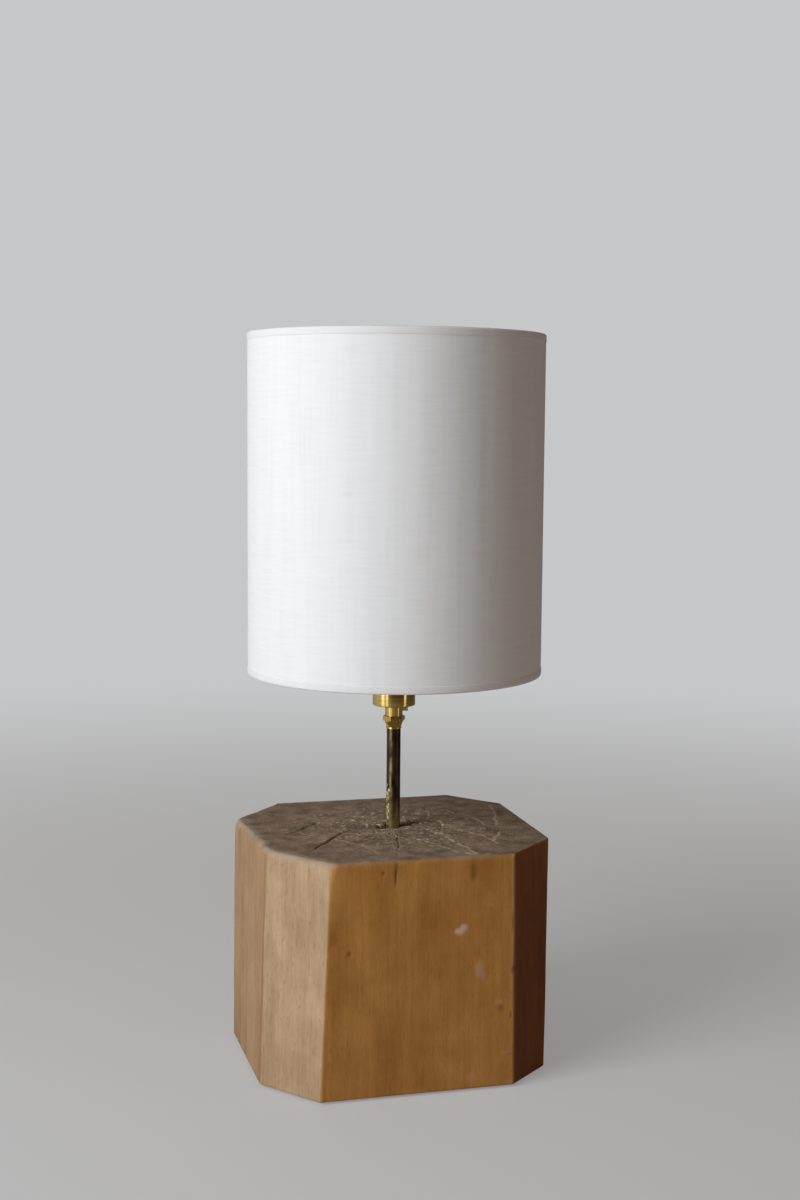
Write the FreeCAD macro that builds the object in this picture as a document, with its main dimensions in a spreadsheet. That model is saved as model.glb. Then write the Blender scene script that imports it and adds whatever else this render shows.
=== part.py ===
"""Column table lamp: an eight-sided block cut from an old beam, a brass tube and a drum shade.

Frame: origin on the tube's axis, on the surface that the lamp stands on; +Z up; the block's
front face looks along -Y. Millimetres and degrees throughout.

The lamp comes apart like this. A hollow threaded rod runs up through the block, drawn tight by
a nut in a recess underneath. The sleeve tube and the hexagonal ferrule are stacked on the rod,
and the lampholder's cap is screwed to its top and locked by a side screw. The lampholder
carries the bulb in two bayonet slots, and clamps the shade's fitter between two threaded rings.
"""
import FreeCAD, Part
import math
import os

import Sketcher

os.makedirs("parts", exist_ok=True)
doc = FreeCAD.newDocument("column_table_lamp")


# ------------------------------------------------------------------ driving dimensions

DIMENSIONS = {
    # wooden block: how far its faces stand from the tube's axis where the block meets the felt
    # and at its top (its left face is hewn askew, so its back and front ends differ), then what
    # each corner cut takes off a side ("along" is measured in X, "deep" in Y)
    "block_height": 195.2,
    "block_left_back_foot": 130.6,
    "block_left_back_top": 129.2,
    "block_left_front_foot": 128.1,
    "block_left_front_top": 122.0,
    "block_right_foot": 114.0,
    "block_right_top": 118.5,
    "block_front": 112.0,
    "block_back": 107.5,
    "front_left_along_foot": 40.6,
    "front_left_along_top": 41.9,
    "front_left_deep_foot": 49.0,
    "front_left_deep_top": 54.0,
    "front_right_along_foot": 38.8,
    "front_right_along_top": 45.0,
    "front_right_deep_foot": 33.0,
    "front_right_deep_top": 43.0,
    "back_right_along": 39.5,
    "back_right_deep": 44.5,
    "back_left_along": 46.4,
    "back_left_deep": 50.0,
    "worn_edge_radius": 3.0,
    "pith_hollow_dia": 24.0,
    "pith_hollow_depth": 6.0,
    "nut_recess_dia": 46.0,
    "nut_recess_depth": 22.0,
    "flex_hole_dia": 12.0,
    "flex_hole_height": 12.0,
    # felt pad
    "felt_thick": 2.0,
    "felt_inset": 8.0,
    # clearances shared by everything that fits together
    "thread_clearance": 0.05,
    "running_clearance": 0.1,
    "rod_hole_clearance": 0.4,
    # threaded rod and its fastening under the block
    "rod_dia": 10.0,
    "rod_bore_dia": 7.0,
    "rod_below_nut": 3.0,
    "rod_above_cap_floor": 1.8,
    "washer_dia": 30.0,
    "washer_thick": 1.5,
    "tooth_washer_dia": 18.0,
    "tooth_washer_thick": 0.8,
    "tooth_gap": 2.0,
    "base_nut_flats": 14.0,
    "base_nut_height": 5.0,
    # bush for the flex in the back of the block
    "bush_bore_dia": 7.5,
    "bush_length": 14.0,
    "bush_flange_lip": 2.5,
    "bush_flange_thick": 2.0,
    # brass stack between the block and the lampholder
    "sleeve_clearance": 0.2,
    "sleeve_wall": 0.8,
    "sleeve_length": 92.1,
    "collar_lip": 0.7,
    "collar_height": 1.2,
    "cone_lip": 0.2,
    "cone_high_dia": 16.2,
    "cone_height": 5.5,
    "ferrule_flats": 17.0,
    "ferrule_hex_height": 4.4,
    # lampholder cap
    "neck_dia": 15.0,
    "neck_height": 9.4,
    "cap_height": 18.0,
    "cap_wall": 1.2,
    "cap_corner_radius": 1.0,
    "cap_ledge_height": 12.0,
    "cap_ledge_width": 1.5,
    "lock_screw_dia": 4.2,
    "lock_screw_height": 6.2,
    "lock_screw_reach": 4.5,
    "lock_screw_turn": -15.0,
    "lock_slot_width": 0.8,
    "lock_slot_depth": 1.0,
    "earth_block_width": 5.0,
    "earth_block_height": 4.0,
    "earth_block_offset": 10.0,
    "earth_screw_dia": 2.5,
    "earth_screw_length": 3.0,
    "earth_screw_rise": 0.5,
    # moulded insert with its two sprung contacts
    "insert_flange_thick": 3.0,
    "insert_foot_dia": 24.0,
    "insert_foot_height": 3.0,
    "insert_top_height": 7.0,
    "contact_spacing": 11.0,
    "contact_bore_dia": 4.8,
    "plunger_length": 8.0,
    "plunger_rise": 3.5,
    "post_head_dia": 6.4,
    "post_head_height": 3.0,
    "post_shank_height": 2.5,
    "post_screw_dia": 2.5,
    "post_screw_reach": 2.0,
    "spring_dia": 4.2,
    "spring_wire_dia": 0.5,
    "spring_turns": 4.0,
    "spring_end_gap": 0.1,
    # brass skirt: threaded outside, two bayonet slots through its wall
    "skirt_flange_width": 2.7,
    "skirt_flange_thick": 1.5,
    "skirt_height": 29.7,
    "slot_sweep": 20.0,
    "bulb_cap_clearance": 0.5,
    "pin_clearance": 0.2,
    "pin_cover": 0.9,
    "bulb_travel": 3.0,
    "slot_roof_gap": 0.6,
    # rings that clamp the shade
    "shade_ring_dia": 40.0,
    "shade_ring_thick": 4.0,
    "lower_ring_height": 17.7,
    "ring_gap": 0.3,
    "fitter_rim": 1.0,
    "fitter_thick": 1.5,
    "fitter_clearance": 0.3,
    # drum shade
    "shade_dia": 250.0,
    "shade_height": 286.6,
    "shade_below_fitter": 9.8,
    "fabric_thick": 0.6,
    "hem_turn": 4.2,
    "laminate_gap": 0.05,
    "liner_thick": 0.5,
    "ring_wire_dia": 3.2,
    "arm_wire_dia": 2.6,
    "arm_slot_clearance": 0.3,
    # bayonet bulb
    "bulb_cap_dia": 22.0,
    "bulb_cap_wall": 0.5,
    "bulb_cap_height": 24.7,
    "contact_pad_dia": 4.5,
    "contact_pad_thick": 1.0,
    "insulator_thick": 2.7,
    "pin_dia": 2.1,
    "pin_reach": 2.4,
    "pin_height": 8.0,
    "glass_dia": 60.0,
    "glass_wall": 0.8,
    "glass_neck_clearance": 0.2,
    "glass_neck_in_cap": 6.0,
    "glass_neck_above_cap": 2.0,
    "glass_shoulder": 43.0,
    "stem_height": 34.0,
    "stem_flare_clearance": 0.5,
    "stem_rod_dia": 3.0,
    "stem_flare_height": 12.0,
    "filament_dia": 12.0,
    "filament_wire_dia": 0.5,
    "filament_height": 42.0,
    "lead_wire_dia": 0.8,
}

dims = doc.addObject("Spreadsheet::Sheet", "dims")
for row, (alias, number) in enumerate(DIMENSIONS.items(), start=1):
    cell = "A%d" % row
    dims.set(cell, "%g" % number)
    dims.setAlias(cell, alias)
doc.recompute()


def size(alias):
    """The sheet's number for one dimension."""
    return float(getattr(dims, alias))


# ------------------------------------------------------------------ helpers for bodies and sketches

ROUND = 360.0
ON_Z = FreeCAD.Vector(0, 0, 1)
NODES = []


def keep(feature):
    """List a finished piece; its Label becomes the name of its file."""
    feature.Label = feature.Name
    NODES.append(feature)
    return feature


def new_body(name):
    """An empty body that will be one piece of the lamp."""
    return keep(doc.addObject("PartDesign::Body", name))


def seat(piece, height, across=None):
    """Stand a piece at a height, and at a place across X if it isn't on the axis."""
    piece.setExpression("Placement.Base.z", height)
    if across:
        piece.setExpression("Placement.Base.x", across)


def level_of(name):
    """The height that another piece is seated at, as a plain number for an expression."""
    return "(%s.Placement.Base.z / 1 mm)" % name


def new_sketch(body, role, name):
    """A sketch on one of the body's own origin planes."""
    sketch = body.newObject("Sketcher::SketchObject", name)
    base = next(item for item in body.Origin.OriginFeatures if item.Role == role)
    sketch.AttachmentSupport = (base, [""])
    sketch.MapMode = "FlatFace"
    return sketch


def hold(sketch, constraint, name, expression):
    """Add one constraint and bind it to the sheet."""
    index = sketch.addConstraint(constraint)
    sketch.renameConstraint(index, name)
    sketch.setExpression("Constraints." + name, expression)


def hold_point(sketch, edge, end, name, across, up):
    """Hold one end of a line, or a circle's centre, at two distances from the sketch's origin."""
    hold(sketch, Sketcher.Constraint("DistanceX", -1, 1, edge, end, 1.0), name + "_across", across)
    hold(sketch, Sketcher.Constraint("DistanceY", -1, 1, edge, end, 1.0), name + "_up", up)


def draw_outline(sketch, corners):
    """A closed outline of straight lines through corners given as (across, up) expressions."""
    count = len(corners)
    first = sketch.GeometryCount
    turn = 2 * math.pi / count
    ring = [FreeCAD.Vector(60 + 20 * math.cos(turn * n), 60 + 20 * math.sin(turn * n), 0)
            for n in range(count)]
    for n in range(count):
        sketch.addGeometry(Part.LineSegment(ring[n], ring[(n + 1) % count]), False)
    for n in range(count):
        joint = Sketcher.Constraint("Coincident", first + n, 2, first + (n + 1) % count, 1)
        sketch.addConstraint(joint)
    for n, (across, up) in enumerate(corners):
        hold_point(sketch, first + n, 1, "corner%d" % (first + n), across, up)


def draw_circle(sketch, across, up, radius):
    """A circle whose centre and radius are bound to the sheet."""
    edge = sketch.addGeometry(Part.Circle(FreeCAD.Vector(5, 5, 0), ON_Z, 2.0), False)
    hold_point(sketch, edge, 3, "centre%d" % edge, across, up)
    hold(sketch, Sketcher.Constraint("Radius", edge, 2.0), "radius%d" % edge, radius)


def draw_hexagon(sketch, flats):
    """A hexagon about the origin, its flats this far apart, with a corner on the first axis."""
    for n in range(6):
        turn = math.radians(60 * n)
        start = FreeCAD.Vector(10 * math.cos(turn), 10 * math.sin(turn), 0)
        turn += math.radians(60)
        finish = FreeCAD.Vector(10 * math.cos(turn), 10 * math.sin(turn), 0)
        sketch.addGeometry(Part.LineSegment(start, finish), False)
    for n in range(6):
        sketch.addConstraint(Sketcher.Constraint("Coincident", n, 2, (n + 1) % 6, 1))
    for n in range(6):
        corner = "(%s) / sqrt(3)" % flats
        across = "%s * cos(%d deg)" % (corner, 60 * n)
        up = "%s * sin(%d deg)" % (corner, 60 * n)
        hold_point(sketch, n, 1, "corner%d" % n, across, up)


def revolve(body, sketch, kind="PartDesign::Revolution", axis="V_Axis", sweep=ROUND):
    """Turn a sketch about one of its own axes, adding to the body or cutting it."""
    feature = body.newObject(kind, sketch.Name + "_turned")
    feature.Profile = sketch
    feature.ReferenceAxis = (sketch, [axis])
    feature.Angle = sweep
    body.Tip = feature
    return feature


def turned(name, corners, role="XZ_Plane", axis="V_Axis"):
    """A body turned about Z from (radius, height) corners, or about another plane's axis."""
    body = new_body(name)
    sketch = new_sketch(body, role, name + "_profile")
    draw_outline(sketch, corners)
    revolve(body, sketch, axis=axis)
    return body


def tube(name, outer, inner, height):
    """A plain turned ring or tube: two radii and a height."""
    return turned(name, [(inner, "0"), (outer, "0"), (outer, height), (inner, height)])


def extrude(body, sketch, length, kind="PartDesign::Pad", both_ways=False, flip=False):
    """Pad or pocket a sketch over a length from the sheet."""
    feature = body.newObject(kind, sketch.Name + "_run")
    feature.Profile = sketch
    feature.setExpression("Length", length)
    feature.Midplane = both_ways
    feature.Reversed = flip
    body.Tip = feature
    return feature


def round_off(body, name, edges, radius):
    """Fillet some edges of the body as it stands."""
    solid = body.Tip
    fillet = body.newObject("PartDesign::Fillet", name)
    fillet.Base = (solid, edges)
    fillet.setExpression("Radius", radius)
    body.Tip = fillet
    return fillet


def repeat_round(body, features, count):
    """Repeat features of a body evenly about its Z axis."""
    pattern = body.newObject("PartDesign::PolarPattern", features[0].Name + "_round")
    pattern.Originals = features
    axis = next(item for item in body.Origin.OriginFeatures if item.Role == "Z_Axis")
    pattern.Axis = (axis, [""])
    pattern.Angle = ROUND
    pattern.Occurrences = count
    body.Tip = pattern
    return pattern


# ------------------------------------------------------------------ wooden block and felt

BLOCK_FRONT = "-dims.block_front"
BLOCK_BACK = "dims.block_back"


def block_corners(level):
    """The block's eight corners at its foot or top, clockwise seen from above."""
    left_back = "-dims.block_left_back_" + level
    left_front = "-dims.block_left_front_" + level
    right = "dims.block_right_" + level
    front_left = "dims.front_left_%s_" + level
    front_right = "dims.front_right_%s_" + level
    return [
        (left_back, BLOCK_BACK + " - dims.back_left_deep"),
        (left_back + " + dims.back_left_along", BLOCK_BACK),
        (right + " - dims.back_right_along", BLOCK_BACK),
        (right, BLOCK_BACK + " - dims.back_right_deep"),
        (right, BLOCK_FRONT + " + " + front_right % "deep"),
        (right + " - " + front_right % "along", BLOCK_FRONT),
        (left_front + " + " + front_left % "along", BLOCK_FRONT),
        (left_front, BLOCK_FRONT + " + " + front_left % "deep"),
    ]


def make_wood_block():
    """A squared beam with its corners cut off, bored for the rod and recessed for the nut."""
    block = new_body("wood_block")
    foot = new_sketch(block, "XY_Plane", "block_foot")
    draw_outline(foot, block_corners("foot"))
    top = new_sketch(block, "XY_Plane", "block_top")
    top.setExpression("AttachmentOffset.Base.z", "dims.block_height")
    draw_outline(top, block_corners("top"))
    loft = block.newObject("PartDesign::AdditiveLoft", "block_sides")
    loft.Profile = foot
    loft.Sections = [top]
    loft.Ruled = True
    block.Tip = loft

    bore = new_sketch(block, "XZ_Plane", "block_bore")
    hollow_floor = "dims.block_height - dims.pith_hollow_depth"
    draw_outline(bore, [
        ("0", "-1"),
        ("dims.nut_recess_dia / 2", "-1"),
        ("dims.nut_recess_dia / 2", "dims.nut_recess_depth"),
        ("dims.rod_dia / 2 + dims.rod_hole_clearance", "dims.nut_recess_depth"),
        ("dims.rod_dia / 2 + dims.rod_hole_clearance", hollow_floor),
        ("dims.pith_hollow_dia / 2", hollow_floor),
        ("dims.pith_hollow_dia / 2", "dims.block_height + 1"),
        ("0", "dims.block_height + 1"),
    ])
    revolve(block, bore, "PartDesign::Groove")

    flex = new_sketch(block, "XZ_Plane", "block_flex_hole")
    draw_circle(flex, "0", "dims.flex_hole_height", "dims.flex_hole_dia / 2")
    extrude(block, flex, "dims.block_back + 1", "PartDesign::Pocket")
    doc.recompute()

    height = size("block_height")
    rim = [
        "Edge%d" % number
        for number, edge in enumerate(block.Shape.Edges, start=1)
        if min(vertex.Z for vertex in edge.Vertexes) > height - 0.01
        and not isinstance(edge.Curve, Part.Circle)
    ]
    round_off(block, "block_worn_rim", rim, "dims.worn_edge_radius")
    seat(block, "dims.felt_thick")
    return block


def make_base_felt():
    """A felt pad that follows the block's foot, set in from its edge."""
    outline = doc.addObject("Sketcher::SketchObject", "felt_outline")
    draw_outline(outline, block_corners("foot"))
    inset = doc.addObject("Part::Offset2D", "felt_inset_outline")
    inset.Source = outline
    inset.Join = "Intersection"
    inset.setExpression("Value", "-dims.felt_inset")
    felt = keep(doc.addObject("Part::Extrusion", "base_felt"))
    felt.Base = inset
    felt.Dir = ON_Z
    felt.DirMode = "Custom"
    felt.setExpression("LengthFwd", "dims.felt_thick")
    felt.Solid = True
    return felt


make_wood_block()
make_base_felt()


# ------------------------------------------------------------------ rod and its fastening

THREAD_BORE = "dims.rod_dia / 2 + dims.thread_clearance"
RECESS_ROOF = "dims.felt_thick + dims.nut_recess_depth"


def make_hex_nut(name, flats, height):
    """A plain hexagonal nut that runs on the rod."""
    nut = new_body(name)
    outline = new_sketch(nut, "XY_Plane", name + "_outline")
    draw_hexagon(outline, flats)
    draw_circle(outline, "0", "0", THREAD_BORE)
    extrude(nut, outline, height)
    return nut


def make_tooth_washer():
    """A lock washer with eight gaps in its rim, which bite under the nut."""
    washer = tube("base_tooth_washer", "dims.tooth_washer_dia / 2", THREAD_BORE,
                  "dims.tooth_washer_thick")
    gap = new_sketch(washer, "XY_Plane", "tooth_gap")
    inner = "dims.tooth_washer_dia / 2 - dims.tooth_gap"
    outer = "dims.tooth_washer_dia / 2 + 1"
    half = "dims.tooth_gap / 2"
    draw_outline(gap, [(inner, "-" + half), (outer, "-" + half), (outer, half), (inner, half)])
    cut = extrude(washer, gap, "2 * dims.tooth_washer_thick + 1", "PartDesign::Pocket",
                  both_ways=True)
    repeat_round(washer, [cut], 8)
    return washer


base_washer = tube("base_washer", "dims.washer_dia / 2", THREAD_BORE, "dims.washer_thick")
seat(base_washer, RECESS_ROOF + " - dims.washer_thick")

tooth_washer = make_tooth_washer()
seat(tooth_washer, level_of("base_washer") + " - dims.tooth_washer_thick")

base_nut = make_hex_nut("base_nut", "dims.base_nut_flats", "dims.base_nut_height")
seat(base_nut, level_of("base_tooth_washer") + " - dims.base_nut_height")

# the sleeve slips over the rod and stands on the floor of the pith hollow
SLEEVE_BORE = "dims.rod_dia / 2 + dims.sleeve_clearance"
SLEEVE_RADIUS = SLEEVE_BORE + " + dims.sleeve_wall"

sleeve = tube("sleeve_tube", SLEEVE_RADIUS, SLEEVE_BORE, "dims.sleeve_length")
seat(sleeve, "dims.felt_thick + dims.block_height - dims.pith_hollow_depth")


# ------------------------------------------------------------------ hexagonal ferrule

def make_hex_ferrule():
    """Collar, cone and hexagon in one, screwed down onto the sleeve."""
    cone_foot = "dims.collar_height"
    cone_top = "dims.collar_height + dims.cone_height"
    ferrule = turned("hex_ferrule", [
        (THREAD_BORE, "0"),
        (SLEEVE_RADIUS + " + dims.collar_lip", "0"),
        (SLEEVE_RADIUS + " + dims.collar_lip", cone_foot),
        (SLEEVE_RADIUS + " + dims.cone_lip", cone_foot),
        ("dims.cone_high_dia / 2", cone_top),
        (THREAD_BORE, cone_top),
    ])
    hexagon = new_sketch(ferrule, "XY_Plane", "ferrule_hexagon")
    hexagon.setExpression("AttachmentOffset.Base.z", cone_top)
    draw_hexagon(hexagon, "dims.ferrule_flats")
    draw_circle(hexagon, "0", "0", THREAD_BORE)
    extrude(ferrule, hexagon, "dims.ferrule_hex_height")
    return ferrule


seat(make_hex_ferrule(), level_of("sleeve_tube") + " + dims.sleeve_length")


# ------------------------------------------------------------------ lampholder cap

CAP_FLOOR = "dims.neck_height + dims.cap_wall"
CAP_TOP = "dims.neck_height + dims.cap_height"
SKIRT_BORE = "dims.bulb_cap_dia / 2 + dims.bulb_cap_clearance"
PIN_END = "dims.bulb_cap_dia / 2 + dims.pin_reach"
SKIRT_RADIUS = PIN_END + " + dims.pin_cover"
CAP_BORE = SKIRT_RADIUS + " + dims.skirt_flange_width + dims.thread_clearance"
CAP_RADIUS = CAP_BORE + " + dims.cap_wall"


def make_holder_cap():
    """A cup with a neck for the rod, a ledge for the insert and a side hole for the lock screw."""
    ledge = CAP_FLOOR + " + dims.cap_ledge_height"
    cap = turned("holder_cap", [
        (THREAD_BORE, "0"),
        ("dims.neck_dia / 2", "0"),
        ("dims.neck_dia / 2", "dims.neck_height"),
        (CAP_RADIUS, "dims.neck_height"),
        (CAP_RADIUS, CAP_TOP),
        (CAP_BORE, CAP_TOP),
        (CAP_BORE, ledge),
        (CAP_BORE + " - dims.cap_ledge_width", ledge),
        (CAP_BORE + " - dims.cap_ledge_width", CAP_FLOOR),
        (THREAD_BORE, CAP_FLOOR),
    ])
    hole = new_sketch(cap, "YZ_Plane", "lock_screw_hole")
    draw_circle(hole, "0", "dims.lock_screw_height",
                "dims.lock_screw_dia / 2 + dims.thread_clearance")
    extrude(cap, hole, "dims.neck_dia", "PartDesign::Pocket", flip=True)
    doc.recompute()

    low = size("neck_height")
    around = [
        (edge.Curve.Radius, "Edge%d" % number)
        for number, edge in enumerate(cap.Shape.Edges, start=1)
        if isinstance(edge.Curve, Part.Circle) and abs(edge.Curve.Center.z - low) < 0.01
    ]
    corner = [max(around)[1]]
    round_off(cap, "cap_soft_corner", corner, "dims.cap_corner_radius")
    return cap


def make_lock_screw():
    """A slotted screw along X, its tip on the rod; it is turned with the cap."""
    tip = THREAD_BORE
    outer = "dims.neck_dia / 2 + dims.lock_screw_reach"
    radius = "dims.lock_screw_dia / 2"
    screw = turned("cap_lock_screw", [(tip, "0"), (outer, "0"), (outer, radius), (tip, radius)],
                   axis="H_Axis")
    slot = new_sketch(screw, "XZ_Plane", "lock_screw_slot")
    half = "dims.lock_slot_width / 2"
    slot_floor = outer + " - dims.lock_slot_depth"
    draw_outline(slot, [(slot_floor, "-" + half), (outer + " + 1", "-" + half),
                        (outer + " + 1", half), (slot_floor, half)])
    extrude(screw, slot, "2 * dims.lock_screw_dia", "PartDesign::Pocket", both_ways=True)
    return screw


holder_cap = make_holder_cap()
seat(holder_cap, level_of("hex_ferrule") + " + dims.collar_height + dims.cone_height"
                                        " + dims.ferrule_hex_height")
lock_screw = make_lock_screw()
seat(lock_screw, level_of("holder_cap") + " + dims.lock_screw_height")
for piece in (holder_cap, lock_screw):
    piece.Placement.Rotation = FreeCAD.Rotation(ON_Z, 0)
    piece.setExpression("Placement.Rotation.Angle", "dims.lock_screw_turn")

# the rod ends just above the cap's floor and reaches down past the base nut
rod_foot = level_of("base_nut") + " - dims.rod_below_nut"
rod_top = level_of("holder_cap") + " + " + CAP_FLOOR + " + dims.rod_above_cap_floor"
rod = tube("threaded_rod", "dims.rod_dia / 2", "dims.rod_bore_dia / 2",
           rod_top + " - (" + rod_foot + ")")
seat(rod, rod_foot)


# ------------------------------------------------------------------ earth terminal in the cap

def make_earth_terminal():
    """A small brass block on the cap's floor with a screw standing in it."""
    block = new_body("earth_terminal")
    foot = new_sketch(block, "XY_Plane", "earth_foot")
    half = "dims.earth_block_width / 2"
    draw_outline(foot, [("-" + half, "-" + half), (half, "-" + half), (half, half),
                        ("-" + half, half)])
    draw_circle(foot, "0", "0", "dims.earth_screw_dia / 2 + dims.thread_clearance")
    extrude(block, foot, "dims.earth_block_height")
    seat(block, level_of("holder_cap") + " + " + CAP_FLOOR, "-dims.earth_block_offset")

    screw = keep(doc.addObject("Part::Cylinder", "earth_screw"))
    screw.setExpression("Radius", "dims.earth_screw_dia / 2")
    screw.setExpression("Height", "dims.earth_screw_length")
    seat(screw, level_of("earth_terminal") + " + dims.earth_block_height"
                " - dims.earth_screw_length + dims.earth_screw_rise",
         "-dims.earth_block_offset")


make_earth_terminal()


# ------------------------------------------------------------------ moulded insert

def make_holder_insert():
    """An insulating moulding on the cap's ledge, bored for two sprung contacts."""
    flange_foot = "dims.insert_foot_height"
    flange_top = "dims.insert_foot_height + dims.insert_flange_thick"
    top = flange_top + " + dims.insert_top_height"
    upper = SKIRT_BORE + " - dims.running_clearance"
    flange = CAP_BORE + " - dims.running_clearance"
    insert = turned("holder_insert", [
        ("0", "0"),
        ("dims.insert_foot_dia / 2", "0"),
        ("dims.insert_foot_dia / 2", flange_foot),
        (flange, flange_foot),
        (flange, flange_top),
        (upper, flange_top),
        (upper, top),
        ("0", top),
    ])
    bores = new_sketch(insert, "XY_Plane", "contact_bores")
    for side in ("-", ""):
        draw_circle(bores, "0", side + "dims.contact_spacing / 2", "dims.contact_bore_dia / 2")
    extrude(insert, bores, "3 * (" + top + ")", "PartDesign::Pocket", both_ways=True)
    return insert


insert = make_holder_insert()
seat(insert, level_of("holder_cap") + " + " + CAP_FLOOR
             + " + dims.cap_ledge_height - dims.insert_foot_height")

INSERT_FOOT = level_of("holder_insert")
INSERT_FLANGE_TOP = INSERT_FOOT + " + dims.insert_foot_height + dims.insert_flange_thick"
CONTACT_PLANE = INSERT_FLANGE_TOP + " + dims.insert_top_height + dims.plunger_rise"
SPRING_FLOOR = INSERT_FOOT + " + dims.post_shank_height"
SPRING_ROOM = "(" + CONTACT_PLANE + " - dims.plunger_length - (" + SPRING_FLOOR + "))"


def make_contact(side, sign):
    """One sprung contact: terminal post, its wire screw, the spring and the plunger."""
    offset = sign + "dims.contact_spacing / 2"
    bore_fit = "dims.contact_bore_dia / 2 - dims.thread_clearance"

    post = turned("terminal_post_" + side, [
        ("0", "-dims.post_head_height"),
        ("dims.post_head_dia / 2", "-dims.post_head_height"),
        ("dims.post_head_dia / 2", "0"),
        (bore_fit, "0"),
        (bore_fit, "dims.post_shank_height"),
        ("0", "dims.post_shank_height"),
    ])
    hole = new_sketch(post, "YZ_Plane", "post_screw_hole_" + side)
    draw_circle(hole, "0", "-dims.post_head_height / 2",
                "dims.post_screw_dia / 2 + dims.thread_clearance")
    extrude(post, hole, "dims.post_head_dia", "PartDesign::Pocket", flip=True)
    seat(post, INSERT_FOOT)
    post.setExpression("Placement.Base.y", offset)

    screw = turned("terminal_screw_" + side, [
        ("0", "0"),
        ("dims.post_head_dia / 2 + dims.post_screw_reach", "0"),
        ("dims.post_head_dia / 2 + dims.post_screw_reach", "dims.post_screw_dia / 2"),
        ("0", "dims.post_screw_dia / 2"),
    ], axis="H_Axis")
    seat(screw, INSERT_FOOT + " - dims.post_head_height / 2")
    screw.setExpression("Placement.Base.y", offset)

    plunger = keep(doc.addObject("Part::Cylinder", "plunger_" + side))
    plunger.setExpression("Radius", "dims.contact_bore_dia / 2 - dims.running_clearance")
    plunger.setExpression("Height", "dims.plunger_length")
    seat(plunger, CONTACT_PLANE + " - dims.plunger_length")
    plunger.setExpression("Placement.Base.y", offset)

    coil_radius = "dims.spring_dia / 2 - dims.spring_wire_dia / 2"
    coil_height = SPRING_ROOM + " - dims.spring_wire_dia - 2 * dims.spring_end_gap"
    helix = doc.addObject("Part::Helix", "spring_path_" + side)
    helix.setExpression("Radius", coil_radius)
    helix.setExpression("Height", coil_height)
    helix.setExpression("Pitch", "(" + coil_height + ") / dims.spring_turns")
    wire = doc.addObject("Part::Circle", "spring_wire_" + side)
    wire.setExpression("Radius", "dims.spring_wire_dia / 2")
    wire.Placement.Rotation = FreeCAD.Rotation(FreeCAD.Vector(1, 0, 0), 90)
    wire.setExpression("Placement.Base.x", coil_radius)
    doc.recompute()
    spring = keep(doc.addObject("Part::Sweep", "plunger_spring_" + side))
    spring.Sections = [wire]
    spring.Spine = (helix, ["Edge%d" % (n + 1) for n in range(len(helix.Shape.Edges))])
    spring.Solid = True
    spring.Frenet = True
    seat(spring, SPRING_FLOOR + " + dims.spring_wire_dia / 2 + dims.spring_end_gap")
    spring.setExpression("Placement.Base.y", offset)


make_contact("front", "-")
make_contact("back", "")


# ------------------------------------------------------------------ skirt with bayonet slots

# the skirt stands on the insert's flange, so its own heights are counted from there
PIN_LEVEL = "dims.insert_top_height + dims.plunger_rise + dims.pin_height"


def make_holder_skirt():
    """A threaded tube screwed into the cap; a hooked slot on each side takes a bulb pin."""
    skirt = new_body("holder_skirt")
    seat(skirt, INSERT_FLANGE_TOP)
    flange = CAP_BORE + " - dims.thread_clearance"
    profile = new_sketch(skirt, "XZ_Plane", "skirt_profile")
    draw_outline(profile, [
        (SKIRT_BORE, "0"),
        (flange, "0"),
        (flange, "dims.skirt_flange_thick"),
        (SKIRT_RADIUS, "dims.skirt_flange_thick"),
        (SKIRT_RADIUS, "dims.skirt_height"),
        (SKIRT_BORE, "dims.skirt_height"),
    ])
    revolve(skirt, profile)

    # the slot in three cuts: the notch that holds the pin, the channel under it, the way in
    pin_room = "dims.pin_dia / 2 + dims.pin_clearance"
    floor = PIN_LEVEL + " - dims.bulb_travel - (" + pin_room + ")"
    roof = PIN_LEVEL + " + " + pin_room
    channel_roof = floor + " + dims.pin_dia + dims.slot_roof_gap"
    inner_wall = size("bulb_cap_dia") / 2 + size("bulb_cap_clearance")
    half_turn = math.degrees((size("pin_dia") / 2 + size("pin_clearance")) / inner_wall)
    sweep = size("slot_sweep")
    cuts = [
        ("notch", -half_turn, 2 * half_turn, roof),
        ("channel", -half_turn, sweep + 2 * half_turn, channel_roof),
        ("way_in", sweep - half_turn, 2 * half_turn, "dims.skirt_height + 1"),
    ]
    grooves = []
    for name, start, turn, top in cuts:
        cut = new_sketch(skirt, "XZ_Plane", "slot_" + name)
        cut.AttachmentOffset = FreeCAD.Placement(
            FreeCAD.Vector(0, 0, 0), FreeCAD.Rotation(FreeCAD.Vector(0, 1, 0), start))
        draw_outline(cut, [
            (SKIRT_BORE + " - 1", floor),
            (SKIRT_RADIUS + " + 1", floor),
            (SKIRT_RADIUS + " + 1", top),
            (SKIRT_BORE + " - 1", top),
        ])
        grooves.append(revolve(skirt, cut, "PartDesign::Groove", sweep=turn))
    repeat_round(skirt, grooves, 2)
    return skirt


make_holder_skirt()


# ------------------------------------------------------------------ shade rings and fitter

RING_BORE = SKIRT_RADIUS + " + dims.running_clearance"
FITTER_RADIUS = "(dims.shade_ring_dia / 2 + dims.fitter_rim)"

lower_ring = tube("shade_ring_lower", "dims.shade_ring_dia / 2", RING_BORE,
                  "dims.shade_ring_thick")
seat(lower_ring, level_of("holder_skirt") + " + dims.lower_ring_height")

fitter_ring = tube("shade_fitter_ring", FITTER_RADIUS,
                   SKIRT_RADIUS + " + dims.fitter_clearance", "dims.fitter_thick")
seat(fitter_ring, level_of("shade_ring_lower") + " + dims.shade_ring_thick + dims.ring_gap")

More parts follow.
